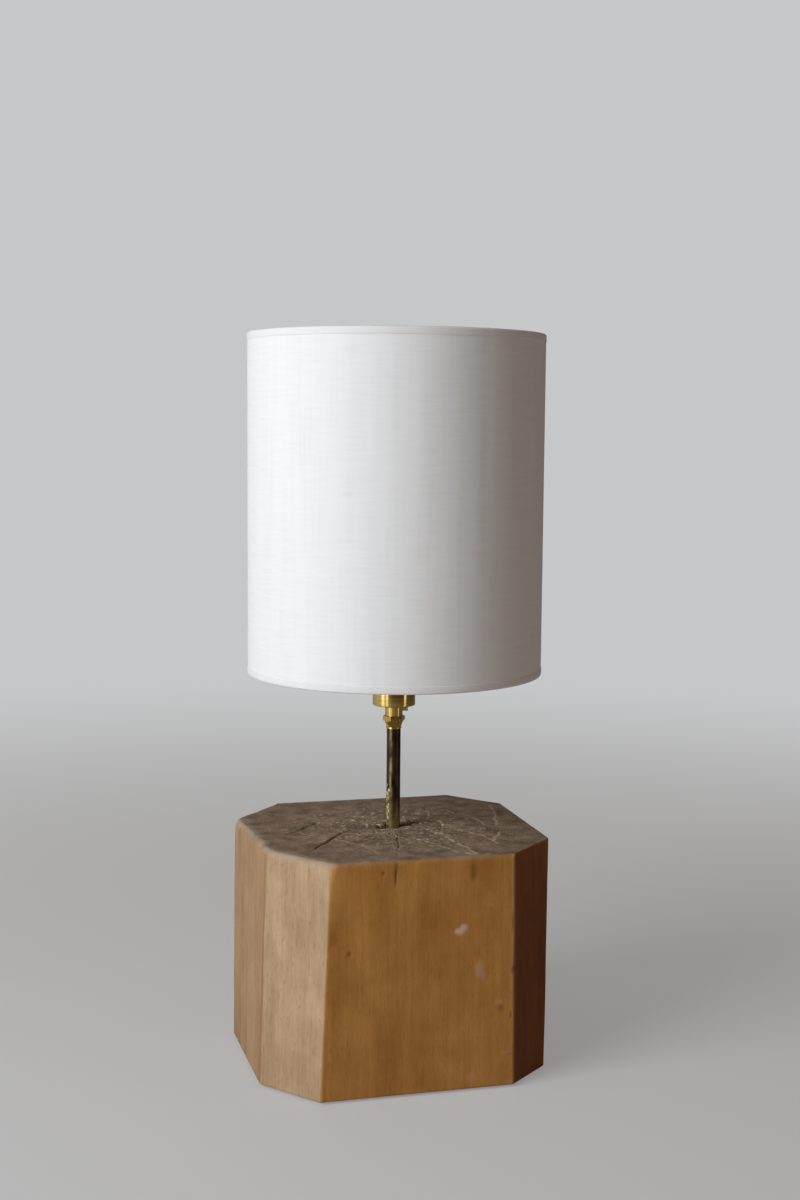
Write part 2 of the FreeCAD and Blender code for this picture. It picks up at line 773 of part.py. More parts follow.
upper_ring = tube("shade_ring_upper", "dims.shade_ring_dia / 2", RING_BORE,
                  "dims.shade_ring_thick")
seat(upper_ring, level_of("shade_fitter_ring") + " + dims.fitter_thick + dims.ring_gap")


# ------------------------------------------------------------------ drum shade

SHADE_FOOT = level_of("shade_fitter_ring") + " - dims.shade_below_fitter"
LINER_RADIUS = "dims.shade_dia / 2 - dims.fabric_thick - dims.laminate_gap"
WIRE_RADIUS = (LINER_RADIUS + " - dims.liner_thick - dims.laminate_gap"
               " - dims.ring_wire_dia / 2")
WIRE_INSET = "dims.fabric_thick + dims.laminate_gap + dims.ring_wire_dia / 2"


def make_ring_wire(name, height):
    """One of the two wire rings that hold the drum round."""
    wire = keep(doc.addObject("Part::Torus", name))
    wire.setExpression("Radius1", WIRE_RADIUS)
    wire.setExpression("Radius2", "dims.ring_wire_dia / 2")
    seat(wire, height)
    return wire


def make_spider_arms(bottom_wire):
    """Three wires from the fitter's rim down to the bottom ring, cut to the ring's round."""
    drop = FITTER_MIDDLE + " - " + level_of("shade_bottom_wire")
    reach = "(" + WIRE_RADIUS + " - " + FITTER_RADIUS + ")"
    wires = []
    for number, turn in enumerate((90, 210, 330), start=1):
        arm = doc.addObject("Part::Cylinder", "spider_wire_%d" % number)
        arm.setExpression("Radius", "dims.arm_wire_dia / 2")
        arm.setExpression("Height", "sqrt((%s)^2 + (%s)^2)" % (reach, drop))
        level = FreeCAD.Rotation(FreeCAD.Vector(0, 1, 0), 90)
        arm.Placement.Rotation = FreeCAD.Rotation(ON_Z, turn).multiply(level)
        arm.setExpression("Placement.Base.x", FITTER_RADIUS + " * cos(%d deg)" % turn)
        arm.setExpression("Placement.Base.y", FITTER_RADIUS + " * sin(%d deg)" % turn)
        arm.setExpression("Placement.Base.z", FITTER_MIDDLE)
        wires.append((arm, turn))
    doc.recompute()
    for arm, turn in wires:
        fall = math.degrees(math.asin((arm.Placement.Base.z - bottom_wire.Placement.Base.z)
                                      / arm.Height.Value))
        level = FreeCAD.Rotation(FreeCAD.Vector(0, 1, 0), 90 + fall)
        arm.Placement.Rotation = FreeCAD.Rotation(ON_Z, turn).multiply(level)
    spider = doc.addObject("Part::Compound", "spider_wires")
    spider.Links = [arm for arm, turn in wires]
    arms = keep(doc.addObject("Part::Cut", "shade_spider_arms"))
    arms.Base = spider
    arms.Tool = bottom_wire
    return arms


def make_shade_liner():
    """The stiff film that the cloth is laminated to."""
    liner = tube("shade_liner", LINER_RADIUS, LINER_RADIUS + " - dims.liner_thick",
                 "dims.shade_height - 2 * dims.fabric_thick - 2 * dims.laminate_gap")
    seat(liner, SHADE_FOOT + " + dims.fabric_thick + dims.laminate_gap")
    return liner


def make_shade_fabric():
    """Cloth over the liner, turned round both ring wires; slit where the three arms pass."""
    outer = "dims.shade_dia / 2"
    inner = "dims.shade_dia / 2 - dims.fabric_thick"
    lip_outer = WIRE_RADIUS + " - dims.ring_wire_dia / 2 - dims.laminate_gap"
    lip_inner = lip_outer + " - dims.fabric_thick"
    top = "dims.shade_height"
    fabric = turned("shade_fabric", [
        (lip_inner, "0"),
        (outer, "0"),
        (outer, top),
        (lip_inner, top),
        (lip_inner, top + " - dims.hem_turn"),
        (lip_outer, top + " - dims.hem_turn"),
        (lip_outer, top + " - dims.fabric_thick"),
        (inner, top + " - dims.fabric_thick"),
        (inner, "dims.fabric_thick"),
        (lip_outer, "dims.fabric_thick"),
        (lip_outer, "dims.hem_turn"),
        (lip_inner, "dims.hem_turn"),
    ])
    slit = new_sketch(fabric, "XZ_Plane", "arm_slit")
    draw_circle(slit, "0", WIRE_INSET, "dims.arm_wire_dia / 2 + dims.arm_slot_clearance")
    cut = extrude(fabric, slit, WIRE_RADIUS, "PartDesign::Pocket")
    repeat_round(fabric, [cut], 3)
    seat(fabric, SHADE_FOOT)
    return fabric


FITTER_MIDDLE = level_of("shade_fitter_ring") + " + dims.fitter_thick / 2"
bottom_ring_wire = make_ring_wire("shade_bottom_wire", SHADE_FOOT + " + " + WIRE_INSET)
make_ring_wire("shade_top_wire", SHADE_FOOT + " + dims.shade_height - (" + WIRE_INSET + ")")
make_spider_arms(bottom_ring_wire)
make_shade_liner()
make_shade_fabric()


# ------------------------------------------------------------------ bayonet bulb

BULB_FOOT = CONTACT_PLANE


def make_bulb_contacts():
    """Two solder pads that rest on the plungers."""
    pads = []
    for side, sign in (("front", "-"), ("back", "")):
        pad = doc.addObject("Part::Cylinder", "contact_pad_" + side)
        pad.setExpression("Radius", "dims.contact_pad_dia / 2")
        pad.setExpression("Height", "dims.contact_pad_thick")
        pad.setExpression("Placement.Base.y", sign + "dims.contact_spacing / 2")
        pads.append(pad)
    contacts = keep(doc.addObject("Part::Compound", "bulb_contacts"))
    contacts.Links = pads
    seat(contacts, BULB_FOOT)


def make_bulb_cap():
    """The bayonet cap: a brass shell with a pin on each side."""
    radius = "dims.bulb_cap_dia / 2"
    foot = "dims.contact_pad_thick + dims.insulator_thick"
    cap = turned("bulb_cap", [
        ("0", foot),
        (radius, foot),
        (radius, "dims.bulb_cap_height"),
        ("0", "dims.bulb_cap_height"),
    ])
    pins = new_sketch(cap, "YZ_Plane", "bulb_pins")
    draw_circle(pins, "0", "dims.pin_height", "dims.pin_dia / 2")
    extrude(cap, pins, "2 * (" + PIN_END + ")", both_ways=True)
    hollow = new_sketch(cap, "XZ_Plane", "bulb_cap_hollow")
    draw_outline(hollow, [
        ("0", foot + " - 1"),
        (radius + " - dims.bulb_cap_wall", foot + " - 1"),
        (radius + " - dims.bulb_cap_wall", "dims.bulb_cap_height + 1"),
        ("0", "dims.bulb_cap_height + 1"),
    ])
    revolve(cap, hollow, "PartDesign::Groove")
    seat(cap, BULB_FOOT)


def make_bulb_insulator():
    """The glassy disc that closes the cap and carries the solder pads."""
    disc = turned("bulb_insulator", [
        ("0", "dims.contact_pad_thick"),
        ("dims.bulb_cap_dia / 2", "dims.contact_pad_thick"),
        ("dims.bulb_cap_dia / 2", "dims.contact_pad_thick + dims.insulator_thick"),
        ("0", "dims.contact_pad_thick + dims.insulator_thick"),
    ])
    seat(disc, BULB_FOOT)


def glass_outline(inset):
    """Half of the envelope's outline as edges in XZ, moved inwards by inset.

    A straight neck runs into a hollow shoulder arc, which is tangent to the round head at
    the shoulder angle below its middle.
    """
    neck = size("bulb_cap_dia") / 2 - size("bulb_cap_wall") - size("glass_neck_clearance")
    head = size("glass_dia") / 2
    shoulder = math.radians(size("glass_shoulder"))
    foot = size("bulb_cap_height") - size("glass_neck_in_cap")
    neck_top = size("bulb_cap_height") + size("glass_neck_above_cap")
    spread = head * math.cos(shoulder) - neck
    arc = spread / (1 - math.cos(shoulder))
    arc_x = neck + arc
    head_z = neck_top + arc * math.sin(shoulder) + head * math.sin(shoulder)

    arc += inset
    head -= inset
    neck -= inset

    def at(x, z):
        return FreeCAD.Vector(x, 0, z)

    join = at(head * math.cos(shoulder), head_z - head * math.sin(shoulder))
    half = shoulder / 2
    arc_middle = at(arc_x - arc * math.cos(half), neck_top + arc * math.sin(half))
    head_turn = (math.pi / 2 - shoulder) / 2
    head_middle = at(head * math.cos(head_turn), head_z + head * math.sin(head_turn))
    return [
        Part.LineSegment(at(neck, foot), at(neck, neck_top)).toShape(),
        Part.Arc(at(neck, neck_top), arc_middle, join).toShape(),
        Part.Arc(join, head_middle, at(0, head_z + head)).toShape(),
    ]


def make_bulb_glass():
    """The frosted envelope: two outlines, one wall apart, joined and turned about Z."""
    outer = glass_outline(0.0)
    inner = glass_outline(size("glass_wall"))
    foot = Part.LineSegment(inner[0].Vertexes[0].Point, outer[0].Vertexes[0].Point).toShape()
    crown = Part.LineSegment(outer[-1].Vertexes[-1].Point, inner[-1].Vertexes[-1].Point).toShape()
    section = Part.Face(Part.Wire(Part.__sortEdges__(outer + inner + [foot, crown])))
    glass = keep(doc.addObject("Part::Feature", "bulb_glass"))
    glass.Shape = section.revolve(FreeCAD.Vector(0, 0, 0), ON_Z, ROUND)
    seat(glass, BULB_FOOT)


def make_bulb_inside():
    """Stem, filament ring and its two lead wires, sealed inside the glass."""
    stem_foot = "dims.bulb_cap_height - dims.glass_neck_in_cap"
    stem_flare = ("dims.bulb_cap_dia / 2 - dims.bulb_cap_wall - dims.glass_neck_clearance"
                  " - dims.glass_wall - dims.stem_flare_clearance")
    stem = turned("bulb_stem", [
        ("0", stem_foot),
        (stem_flare, stem_foot),
        ("dims.stem_rod_dia / 2", stem_foot + " + dims.stem_flare_height"),
        ("dims.stem_rod_dia / 2", stem_foot + " + dims.stem_height"),
        ("0", stem_foot + " + dims.stem_height"),
    ])
    seat(stem, BULB_FOOT)

    filament = keep(doc.addObject("Part::Torus", "bulb_filament"))
    filament.setExpression("Radius1", "dims.filament_dia / 2")
    filament.setExpression("Radius2", "dims.filament_wire_dia / 2")
    seat(filament, BULB_FOOT + " + " + stem_foot + " + dims.filament_height")

    # the lead wires rise from the stem's flare, whose slope is cut out of their lower ends
    leads = []
    for name, sign in (("lead_wire_left", "-"), ("lead_wire_right", "")):
        lead = doc.addObject("Part::Cylinder", name)
        lead.setExpression("Radius", "dims.lead_wire_dia / 2")
        lead.setExpression("Height", "dims.filament_height - dims.filament_wire_dia / 2")
        lead.setExpression("Placement.Base.x", sign + "dims.filament_dia / 2")
        lead.setExpression("Placement.Base.z", BULB_FOOT + " + " + stem_foot)
        leads.append(lead)
    pair = doc.addObject("Part::Compound", "lead_wire_pair")
    pair.Links = leads
    wires = keep(doc.addObject("Part::Cut", "bulb_lead_wires"))
    wires.Base = pair
    wires.Tool = stem


make_bulb_contacts()
make_bulb_cap()
make_bulb_insulator()
make_bulb_glass()
make_bulb_inside()


# ------------------------------------------------------------------ flex entry bush

def make_flex_bush():
    """A flanged insulating bush pressed into the hole in the block's back."""
    bore = "dims.bush_bore_dia / 2"
    barrel = "dims.flex_hole_dia / 2 - dims.thread_clearance"
    flange = "dims.flex_hole_dia / 2 + dims.bush_flange_lip"
    bush = turned("flex_entry_bush", [
        ("dims.block_back - dims.bush_length", bore),
        ("dims.block_back + dims.bush_flange_thick", bore),
        ("dims.block_back + dims.bush_flange_thick", flange),
        ("dims.block_back", flange),
        ("dims.block_back", barrel),
        ("dims.block_back - dims.bush_length", barrel),
    ], role="YZ_Plane", axis="H_Axis")
    seat(bush, "dims.felt_thick + dims.flex_hole_height")


make_flex_bush()


# ------------------------------------------------------------------ check and write every piece

doc.recompute()
for item in doc.Objects:
    if "Invalid" in item.State or "Error" in item.State:
        raise RuntimeError("%s didn't rebuild: %s" % (item.Name, item.State))
for piece in NODES:
    if piece.Shape.isNull() or not piece.Shape.isValid() or not piece.Shape.Solids:
        raise RuntimeError("%s has no valid solid" % piece.Name)

for piece in NODES:
    piece.Shape.exportStep(os.path.join("parts", piece.Label + ".step"))
    bounds = piece.Shape.BoundBox
    print("%-22s %d solid(s) %10.1f mm3  z %6.1f to %6.1f" % (
        piece.Label, len(piece.Shape.Solids), piece.Shape.Volume, bounds.ZMin, bounds.ZMax))
print(len(NODES), "pieces")
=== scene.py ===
# %% [markdown]
# # A column table lamp
# An eight-sided block cut from an old beam carries a slim brass tube, a brass lampholder and a
# tall linen drum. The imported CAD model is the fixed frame: every piece below stands where the
# CAD says. Blender counts in metres, so the places of the camera, the light and the floor are in
# metres; the sizes of pieces are written in millimetres, and scaled when a mesh is made.

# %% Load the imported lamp
import math

import bmesh
import bpy
import numpy as np
from mathutils import Matrix, Vector


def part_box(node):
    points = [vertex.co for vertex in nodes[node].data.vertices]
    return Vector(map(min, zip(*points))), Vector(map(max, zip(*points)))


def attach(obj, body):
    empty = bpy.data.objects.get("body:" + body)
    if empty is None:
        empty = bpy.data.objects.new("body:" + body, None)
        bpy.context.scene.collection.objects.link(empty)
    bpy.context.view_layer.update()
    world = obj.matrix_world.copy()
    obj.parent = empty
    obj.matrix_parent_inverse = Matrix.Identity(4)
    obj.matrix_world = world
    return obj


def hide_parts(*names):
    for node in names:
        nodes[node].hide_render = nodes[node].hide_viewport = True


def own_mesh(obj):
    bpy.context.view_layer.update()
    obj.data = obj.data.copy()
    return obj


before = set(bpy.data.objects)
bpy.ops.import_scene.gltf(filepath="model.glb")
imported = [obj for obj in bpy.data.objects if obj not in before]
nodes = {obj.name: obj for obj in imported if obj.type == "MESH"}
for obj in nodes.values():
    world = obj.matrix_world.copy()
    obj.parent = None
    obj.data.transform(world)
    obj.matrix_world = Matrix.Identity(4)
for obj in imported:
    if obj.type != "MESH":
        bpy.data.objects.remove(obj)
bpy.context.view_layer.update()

MM = 0.001
scene = bpy.context.scene

# %% [markdown]
# ## Camera
# The photograph was taken from the height of the shade, a little left of the block's front, and
# looks slightly down. A 50 mm lens, a place and three small turns put every corner of the block
# and both rims of the shade where the photograph has them. The camera could be aimed with a
# constraint, but a plain matrix keeps its small roll exact.

# %% Place the camera
LENS, SENSOR_WIDE = 50.0, 36.0
NEAREST_SEEN = 0.01
CAMERA_PLACE = Vector((-0.35606, -1.36936, 0.54459))
CAMERA_YAW = math.radians(-14.756)
CAMERA_PITCH = math.radians(6.0716)
CAMERA_ROLL = math.radians(0.477)

ahead = Vector((-math.sin(CAMERA_YAW), math.cos(CAMERA_YAW), 0))
forward = ahead * math.cos(CAMERA_PITCH) - Vector((0, 0, math.sin(CAMERA_PITCH)))
right = Vector((math.cos(CAMERA_YAW), math.sin(CAMERA_YAW), 0))
up = right.cross(forward)
rolled_right = right * math.cos(CAMERA_ROLL) + up * math.sin(CAMERA_ROLL)
rolled_up = up * math.cos(CAMERA_ROLL) - right * math.sin(CAMERA_ROLL)

camera_data = bpy.data.cameras.new("camera")
camera_data.lens = LENS
camera_data.sensor_width = SENSOR_WIDE
camera_data.clip_start = NEAREST_SEEN
camera = bpy.data.objects.new("camera", camera_data)
scene.collection.objects.link(camera)
turn = Matrix((rolled_right, rolled_up, -forward)).transposed()
camera.matrix_world = Matrix.Translation(CAMERA_PLACE) @ turn.to_4x4()
scene.camera = camera
print("camera at", tuple(camera.location))

# %% [markdown]
# ## Colours and nodes
# Colours are picked as sRGB hex values, the way a paint card gives them, while Cycles works in
# linear light, so one function converts them. One more small function adds a shader node with
# its settings and what feeds its inputs. The rest start a material with its plain constants, lay
# colours over each other, and turn a pattern's real size into a scale.

# %% Colour and node helpers
def linear(hexcode):
    """An sRGB hex colour as linear RGBA."""
    parts = [int(hexcode[i:i + 2], 16) / 255 for i in (0, 2, 4)]
    return [c / 12.92 if c <= 0.04045 else ((c + 0.055) / 1.055) ** 2.4 for c in parts] + [1.0]


def add(tree, kind, feeds=None, out=0, stops=(), **settings):
    """Add a node with its settings and links, and return one of its outputs, or the node itself.

    Feeds name an input, or count it, and give a link or a value; a hex string is a colour.
    Stops are the (place, hex colour) pairs of a node that holds a colour ramp.
    """
    made = tree.nodes.new("ShaderNode" + kind)
    for name, value in settings.items():
        setattr(made, name, value)
    for number, (spot, hexcode) in enumerate(stops):
        elements = made.color_ramp.elements
        element = elements[number] if number < 2 else elements.new(spot)
        element.position = spot
        element.color = linear(hexcode)
    for socket, value in (feeds or {}).items():
        if isinstance(value, bpy.types.NodeSocket):
            tree.links.new(value, made.inputs[socket])
        else:
            made.inputs[socket].default_value = linear(value) if isinstance(value, str) else value
    return made if out is None else made.outputs[out]


def new_material(name, colour=None, **constants):
    """A material with one principled shader, its constants set on the shader's own sockets."""
    made = bpy.data.materials.new(name)
    made.use_nodes = True
    shader = made.node_tree.nodes["Principled BSDF"]
    if colour:
        shader.inputs["Base Color"].default_value = linear(colour)
    for socket, value in constants.items():
        shader.inputs[socket.replace("_", " ")].default_value = value
    print("material:", name)
    return made, made.node_tree, shader


# the mix node's colour inputs and output, by number, because three of each share a name
MIX_A, MIX_B, MIX_OUT = 6, 7, 2


def layered(tree, colour, layers):
    """A colour with others laid over it; each layer is (mask, its share, colour)."""
    for mask, share, tint in layers:
        factor = add(tree, "Math", {0: mask, 1: share}, operation="MULTIPLY")
        colour = add(tree, "Mix", {0: factor, MIX_A: colour, MIX_B: tint}, out=MIX_OUT,
                     data_type="RGBA")
    return colour


def sized(*sizes):
    """The scale of a Mapping node that gives a pattern these sizes in mm along X, Y and Z."""
    return tuple(1 / (size * MM) for size in sizes)


print("helpers ready")

# %% [markdown]
# ## Floor, background and light
# The lamp stands on a plain pale floor. A curved paper sweep would hide the horizon from one side
# only, so the floor's colour fades into the background's with distance instead, which works from
# every side. In mirror-like metal the floor fades out too, and the surroundings show. Seen from
# below, the floor lets the camera through.

# %% Make the floor
BACKGROUND = "C6C7C8"
FLOOR_COLOUR = "CDCCCA"
FLOOR_HALF = 6.0
FADE_START, FADE_END = 0.35, 2.2
FADE_LEAST = 0.42

floor_mesh = bpy.data.meshes.new("floor")
floor_mesh.from_pydata([(-FLOOR_HALF, -FLOOR_HALF, 0), (FLOOR_HALF, -FLOOR_HALF, 0),
                        (FLOOR_HALF, FLOOR_HALF, 0), (-FLOOR_HALF, FLOOR_HALF, 0)],
                       [], [(0, 1, 2, 3)])
floor = bpy.data.objects.new("floor", floor_mesh)
scene.collection.objects.link(floor)

paper, tree, shader = new_material("matt_paper_floor", FLOOR_COLOUR, Roughness=0.9,
                                   Specular_IOR_Level=0.2)
place = add(tree, "TexCoord", out=3)
reach = add(tree, "VectorMath", {0: place}, out=1, operation="LENGTH")
fade = add(tree, "MapRange", {0: reach, 1: FADE_START, 2: FADE_END, 3: FADE_LEAST, 4: 1.0},
           interpolation_type="SMOOTHSTEP")
sees = add(tree, "LightPath", out=None)
far = add(tree, "Emission", {"Color": BACKGROUND, "Strength": 1.0})
surface = shader.outputs[0]
for ray, distant in (("Is Camera Ray", far), ("Is Glossy Ray", add(tree, "BsdfTransparent"))):
    faded = add(tree, "Math", {0: fade, 1: sees.outputs[ray]}, operation="MULTIPLY")
    surface = add(tree, "MixShader", {0: faded, 1: surface, 2: distant})
below = add(tree, "NewGeometry", out=6)
surface = add(tree, "MixShader", {0: below, 1: surface, 2: add(tree, "BsdfTransparent")})
tree.links.new(surface, tree.nodes["Material Output"].inputs["Surface"])
floor_mesh.materials.append(paper)
print("floor:", 2 * FLOOR_HALF, "m square")

# %% [markdown]
# A soft daylight key comes from the left and a little from the front, as in the photograph, where
# the drum is nearly white on its left and a warm grey on its right. The world gives a dim warm
# fill. Camera rays see the pale background instead. Polished brass mirrors surroundings of its
# own, pale behind and to the left, dark in front, with one narrow light to the right: without
# them a turned cap shows no dark band and looks like matt plastic.

# %% Light the lamp
KEY_DIRECTION = Vector((-0.902, -0.427, 0.42)).normalized()
KEY_DISTANCE = 2.3
KEY_WIDE, KEY_TALL = 1.3, 1.5
KEY_POWER = 50.0
KEY_COLOUR = "F1F8FF"
FILL_COLOUR = "FFE3CE"
FILL_STRENGTH = 0.19
LAMP_HEIGHT = 0.35
# what bright metal mirrors: (compass angle in degrees from +X, colour), and how strongly
SURROUNDINGS = [
    (-180, "9C9C9C"), (-177, "A2A2A2"), (-173, "FFFFFF"), (-161, "FFFFFF"), (-157, "A0A0A0"),
    (-150, "909090"), (-145, "F0F0F0"), (-140, "F0F0F0"), (-135, "707070"), (-122, "4A4540"),
    (-112, "3F2C1E"), (-48, "38271B"), (-43, "FFFFFF"), (-38, "C8C8C8"), (-33, "47423D"),
    (5, "332A24"), (45, "4A443E"), (90, "676767"), (150, "949494")]
MIRRORED_STRENGTH = 1.8

key_data = bpy.data.lights.new("key", "AREA")
key_data.shape = "RECTANGLE"
key_data.size = KEY_WIDE
key_data.size_y = KEY_TALL
key_data.energy = KEY_POWER
key_data.color = linear(KEY_COLOUR)[:3]
key = bpy.data.objects.new("key", key_data)
key.location = Vector((0, 0, LAMP_HEIGHT)) + KEY_DIRECTION * KEY_DISTANCE
key.rotation_euler = (-KEY_DIRECTION).to_track_quat("-Z", "Y").to_euler()
scene.collection.objects.link(key)

world = bpy.data.worlds.new("studio")
scene.world = world
world.use_nodes = True
tree = world.node_tree
sees = add(tree, "LightPath", out=None)
glossy = add(tree, "Math", {0: sees.outputs["Is Glossy Ray"],
                            1: sees.outputs["Is Transmission Ray"]}, operation="MAXIMUM")
toward = add(tree, "SeparateXYZ", {0: add(tree, "TexCoord", out=0)}, out=None)
compass = add(tree, "Math", {0: toward.outputs[1], 1: toward.outputs[0]}, operation="ARCTAN2")
compass = add(tree, "MapRange", {0: compass, 1: -math.pi, 2: math.pi})
mirror_colour = add(tree, "ValToRGB", {0: compass},
                    stops=[((angle + 180) / 360, shade) for angle, shade in SURROUNDINGS])
fill = add(tree, "Background", {"Color": FILL_COLOUR, "Strength": FILL_STRENGTH})
mirrored = add(tree, "Background", {"Color": mirror_colour, "Strength": MIRRORED_STRENGTH})
seen = add(tree, "Background", {"Color": BACKGROUND, "Strength": 1.0})
mixed = add(tree, "MixShader", {0: glossy, 1: fill, 2: mirrored})
mixed = add(tree, "MixShader", {0: sees.outputs["Is Camera Ray"], 1: mixed, 2: seen})
tree.links.new(mixed, tree.nodes["World Output"].inputs["Surface"])
scene.view_settings.view_transform = "Standard"
print("key at", tuple(round(v, 2) for v in key.location))

# %% [markdown]
# ## Making meshes
# Almost every part of this lamp is a closed grid of points: rows along a part's profile, columns
# round its axis. One helper turns such a grid into a mesh, and one turns smooth noise into the
# small unevenness that hand work and age leave. Blender's displace modifier could do that too, but
# a grid in numpy can be cut, dented and measured in millimetres.

# %% Grid and noise helpers
def grid_mesh(name, grid, closed_rows, smooth_angle=40):
    """Join a (rows, columns, 3) grid in mm into a mesh; its columns always close on themselves."""
    rows, columns = grid.shape[:2]
    index = np.arange(rows * columns).reshape(rows, columns)
    along = index if closed_rows else index[:-1]
    after = np.roll(index, -1, axis=0) if closed_rows else index[1:]
    faces = np.stack([along, np.roll(along, -1, axis=1), np.roll(after, -1, axis=1), after], -1)
    mesh = bpy.data.meshes.new(name)
    mesh.from_pydata((grid.reshape(-1, 3) * MM).tolist(), [], faces.reshape(-1, 4).tolist())
    return finish_mesh(name, mesh, smooth_angle)


def finish_mesh(name, mesh, smooth_angle):
    """Point the faces outwards, shade smooth up to an angle, and link an object."""
    shape = bmesh.new()
    shape.from_mesh(mesh)
    bmesh.ops.remove_doubles(shape, verts=shape.verts, dist=1e-7)
    bmesh.ops.recalc_face_normals(shape, faces=shape.faces)
    shape.to_mesh(mesh)
    shape.free()
    mesh.shade_smooth()
    mesh.set_sharp_from_angle(angle=math.radians(smooth_angle))
    made = bpy.data.objects.new(name, mesh)
    scene.collection.objects.link(made)
    print(name + ":", len(mesh.vertices), "points")
    return made


# large primes that scatter the bits of a cell's place and of the seed
CELL_PRIMES = np.array([73856093, 19349663, 83492791], np.uint32)
SEED_STEP, SEED_START = 2654435, 97
SCATTER = ((15, np.uint32(2246822519)), (13, np.uint32(3266489917)))
# where noise is read: well above 0, and elsewhere for each seed
NOISE_START, NOISE_SEED_STEP = 100, 17.3


def lattice(cells, seed):
    """A repeatable number from 0 to 1 for each cell of a 3-D lattice."""
    code = cells.astype(np.uint32) * CELL_PRIMES
    code = code[:, 0] ^ code[:, 1] ^ code[:, 2] ^ np.uint32(seed * SEED_STEP + SEED_START)
    for shift, prime in SCATTER:
        code = (code ^ (code >> shift)) * prime
    return ((code ^ (code >> 16)) & 0xFFFF) / 65535.0


def noise(points, size, seed, octaves=1):
    """Smooth noise from -1 to 1; size is the width of a bump in mm along X, Y and Z."""
    total = np.zeros(len(points))
    weight = 1.0
    for octave in range(octaves):
        spot = points / np.asarray(size, float) * 2 ** octave
        spot = spot + NOISE_START + NOISE_SEED_STEP * seed
        cell = np.floor(spot).astype(np.int64)
        part = spot - cell
        part = part * part * (3 - 2 * part)
        value = np.zeros(len(points))
        for corner in np.ndindex(2, 2, 2):
            share = np.prod(np.where(corner, part, 1 - part), axis=1)
            value += share * lattice(cell + corner, seed)
        total += weight * (2 * value - 1)
        weight *= 0.5
    return total / (2 - 2 * weight)


def smoothstep(low, high, value):
    """0 below low, 1 above high, smooth between."""
    part = np.clip((value - low) / (high - low), 0, 1)
    return part * part * (3 - 2 * part)


def set_mask(mesh, name, values):
    """Store one number for each point, for the material to read."""
    layer = mesh.attributes.new(name, "FLOAT", "POINT")
    layer.data.foreach_set("value", np.asarray(values, np.float32).ravel())


# %% [markdown]
# ## The wooden block
# A squared beam with its corners cut off, standing on end. Its sides are planed and waxed; its
# top is bare end grain, greyed by age, rough round a ragged hollow where the pith has rotted out.
# The outline is eight straight sides with corners rounded by wear, each by its own amount: the
# front left edges are soft, the front right one is still crisp. Sculpting would give the same
# marks but no sizes, so the block is a fine grid, and each mark is pressed into it in numbers.

# %% The block's outline
BLOCK_FOOT_LEVEL, BLOCK_TOP_LEVEL = 2.0, 197.2
# corners, clockwise from the left face's back edge
BLOCK_FOOT = np.array([(-130.6, 57.5), (-84.2, 107.5), (74.5, 107.5), (114, 63),
                       (114, -79), (75.2, -112), (-87.5, -112), (-128.1, -63)])
BLOCK_TOP = np.array([(-129.2, 57.5), (-82.8, 107.5), (79, 107.5), (118.5, 63),
                      (118.5, -69), (73.5, -112), (-80.1, -112), (-122, -58)])
SIDES = len(BLOCK_FOOT)
# how far wear reaches along both sides of each corner, and how much that varies
CORNER_WEAR = np.array([2.2, 1.6, 1.6, 2.2, 2.6, 1.1, 1.7, 3.0])
WEAR_VARIES = 0.35
# towards the top the three left-hand corners are worn much rounder, over this height
EXTRA_TOP_WEAR = np.array([5.0, 0, 0, 0, 1.5, 0.3, 5.0, 6.5])
TOP_WEAR_HEIGHT = 8.0
# the step between columns near a corner and away from it, and how far near reaches
FINE_STEP, COARSE_STEP, FINE_REACH = 0.7, 1.35, 9.8


def side_stations():
    """For each side of the outline, where its columns fall, closer together near corners."""
    stations = []
    middle = (BLOCK_FOOT + BLOCK_TOP) / 2
    for side in range(SIDES):
        length = np.linalg.norm(middle[(side + 1) % SIDES] - middle[side])
        near = np.linspace(0, FINE_REACH, round(FINE_REACH / FINE_STEP), endpoint=False)
        plain = np.linspace(FINE_REACH, length - FINE_REACH,
                            round((length - 2 * FINE_REACH) / COARSE_STEP) + 1)
        places = np.concatenate([near, plain, (length - near)[::-1][:-1]])
        stations += [(side, place / length) for place in places]
    return stations


STATIONS = side_stations()
SIDE_OF = np.array([side for side, place in STATIONS])
PLACE_ON = np.array([place for side, place in STATIONS])
print("columns round the block:", len(STATIONS))


def outline_at(level):
    """The worn outline at a height in mm, one point for each column."""
    share = (level - BLOCK_FOOT_LEVEL) / (BLOCK_TOP_LEVEL - BLOCK_FOOT_LEVEL)
    corners = BLOCK_FOOT * (1 - share) + BLOCK_TOP * share
    spot = np.column_stack([corners, np.full(SIDES, level)])
    wear = CORNER_WEAR * (1 + WEAR_VARIES * noise(spot, (60, 60, 22), seed=3, octaves=2))
    wear = np.minimum(wear + EXTRA_TOP_WEAR * np.exp((level - BLOCK_TOP_LEVEL) / TOP_WEAR_HEIGHT),
                      FINE_REACH)
    points = np.zeros((len(STATIONS), 2))
    for side in range(SIDES):
        this, after = side, (side + 1) % SIDES
        chosen = SIDE_OF == side
        place = PLACE_ON[chosen][:, None]
        start, end = corners[this], corners[after]
        length = np.linalg.norm(end - start)
        line = start + (end - start) * place
        for corner, outward in ((this, (start - end) / length), (after, (end - start) / length)):
            gap = np.linalg.norm(line - corners[corner], axis=1)[:, None]
            other = corners[(corner + 1) % SIDES] if corner == after else corners[corner - 1]
            beyond = (other - corners[corner]) / np.linalg.norm(other - corners[corner])
            reach = wear[corner]
            part = np.clip((1 - gap / reach) / 2, 0, 0.5)
            from_line = corners[corner] - outward * reach
            to_line = corners[corner] + beyond * reach
            bent = ((1 - part) ** 2 * from_line + 2 * part * (1 - part) * corners[corner]
                    + part ** 2 * to_line)
            line = np.where(gap < reach, bent, line)
        points[chosen] = line
    return points


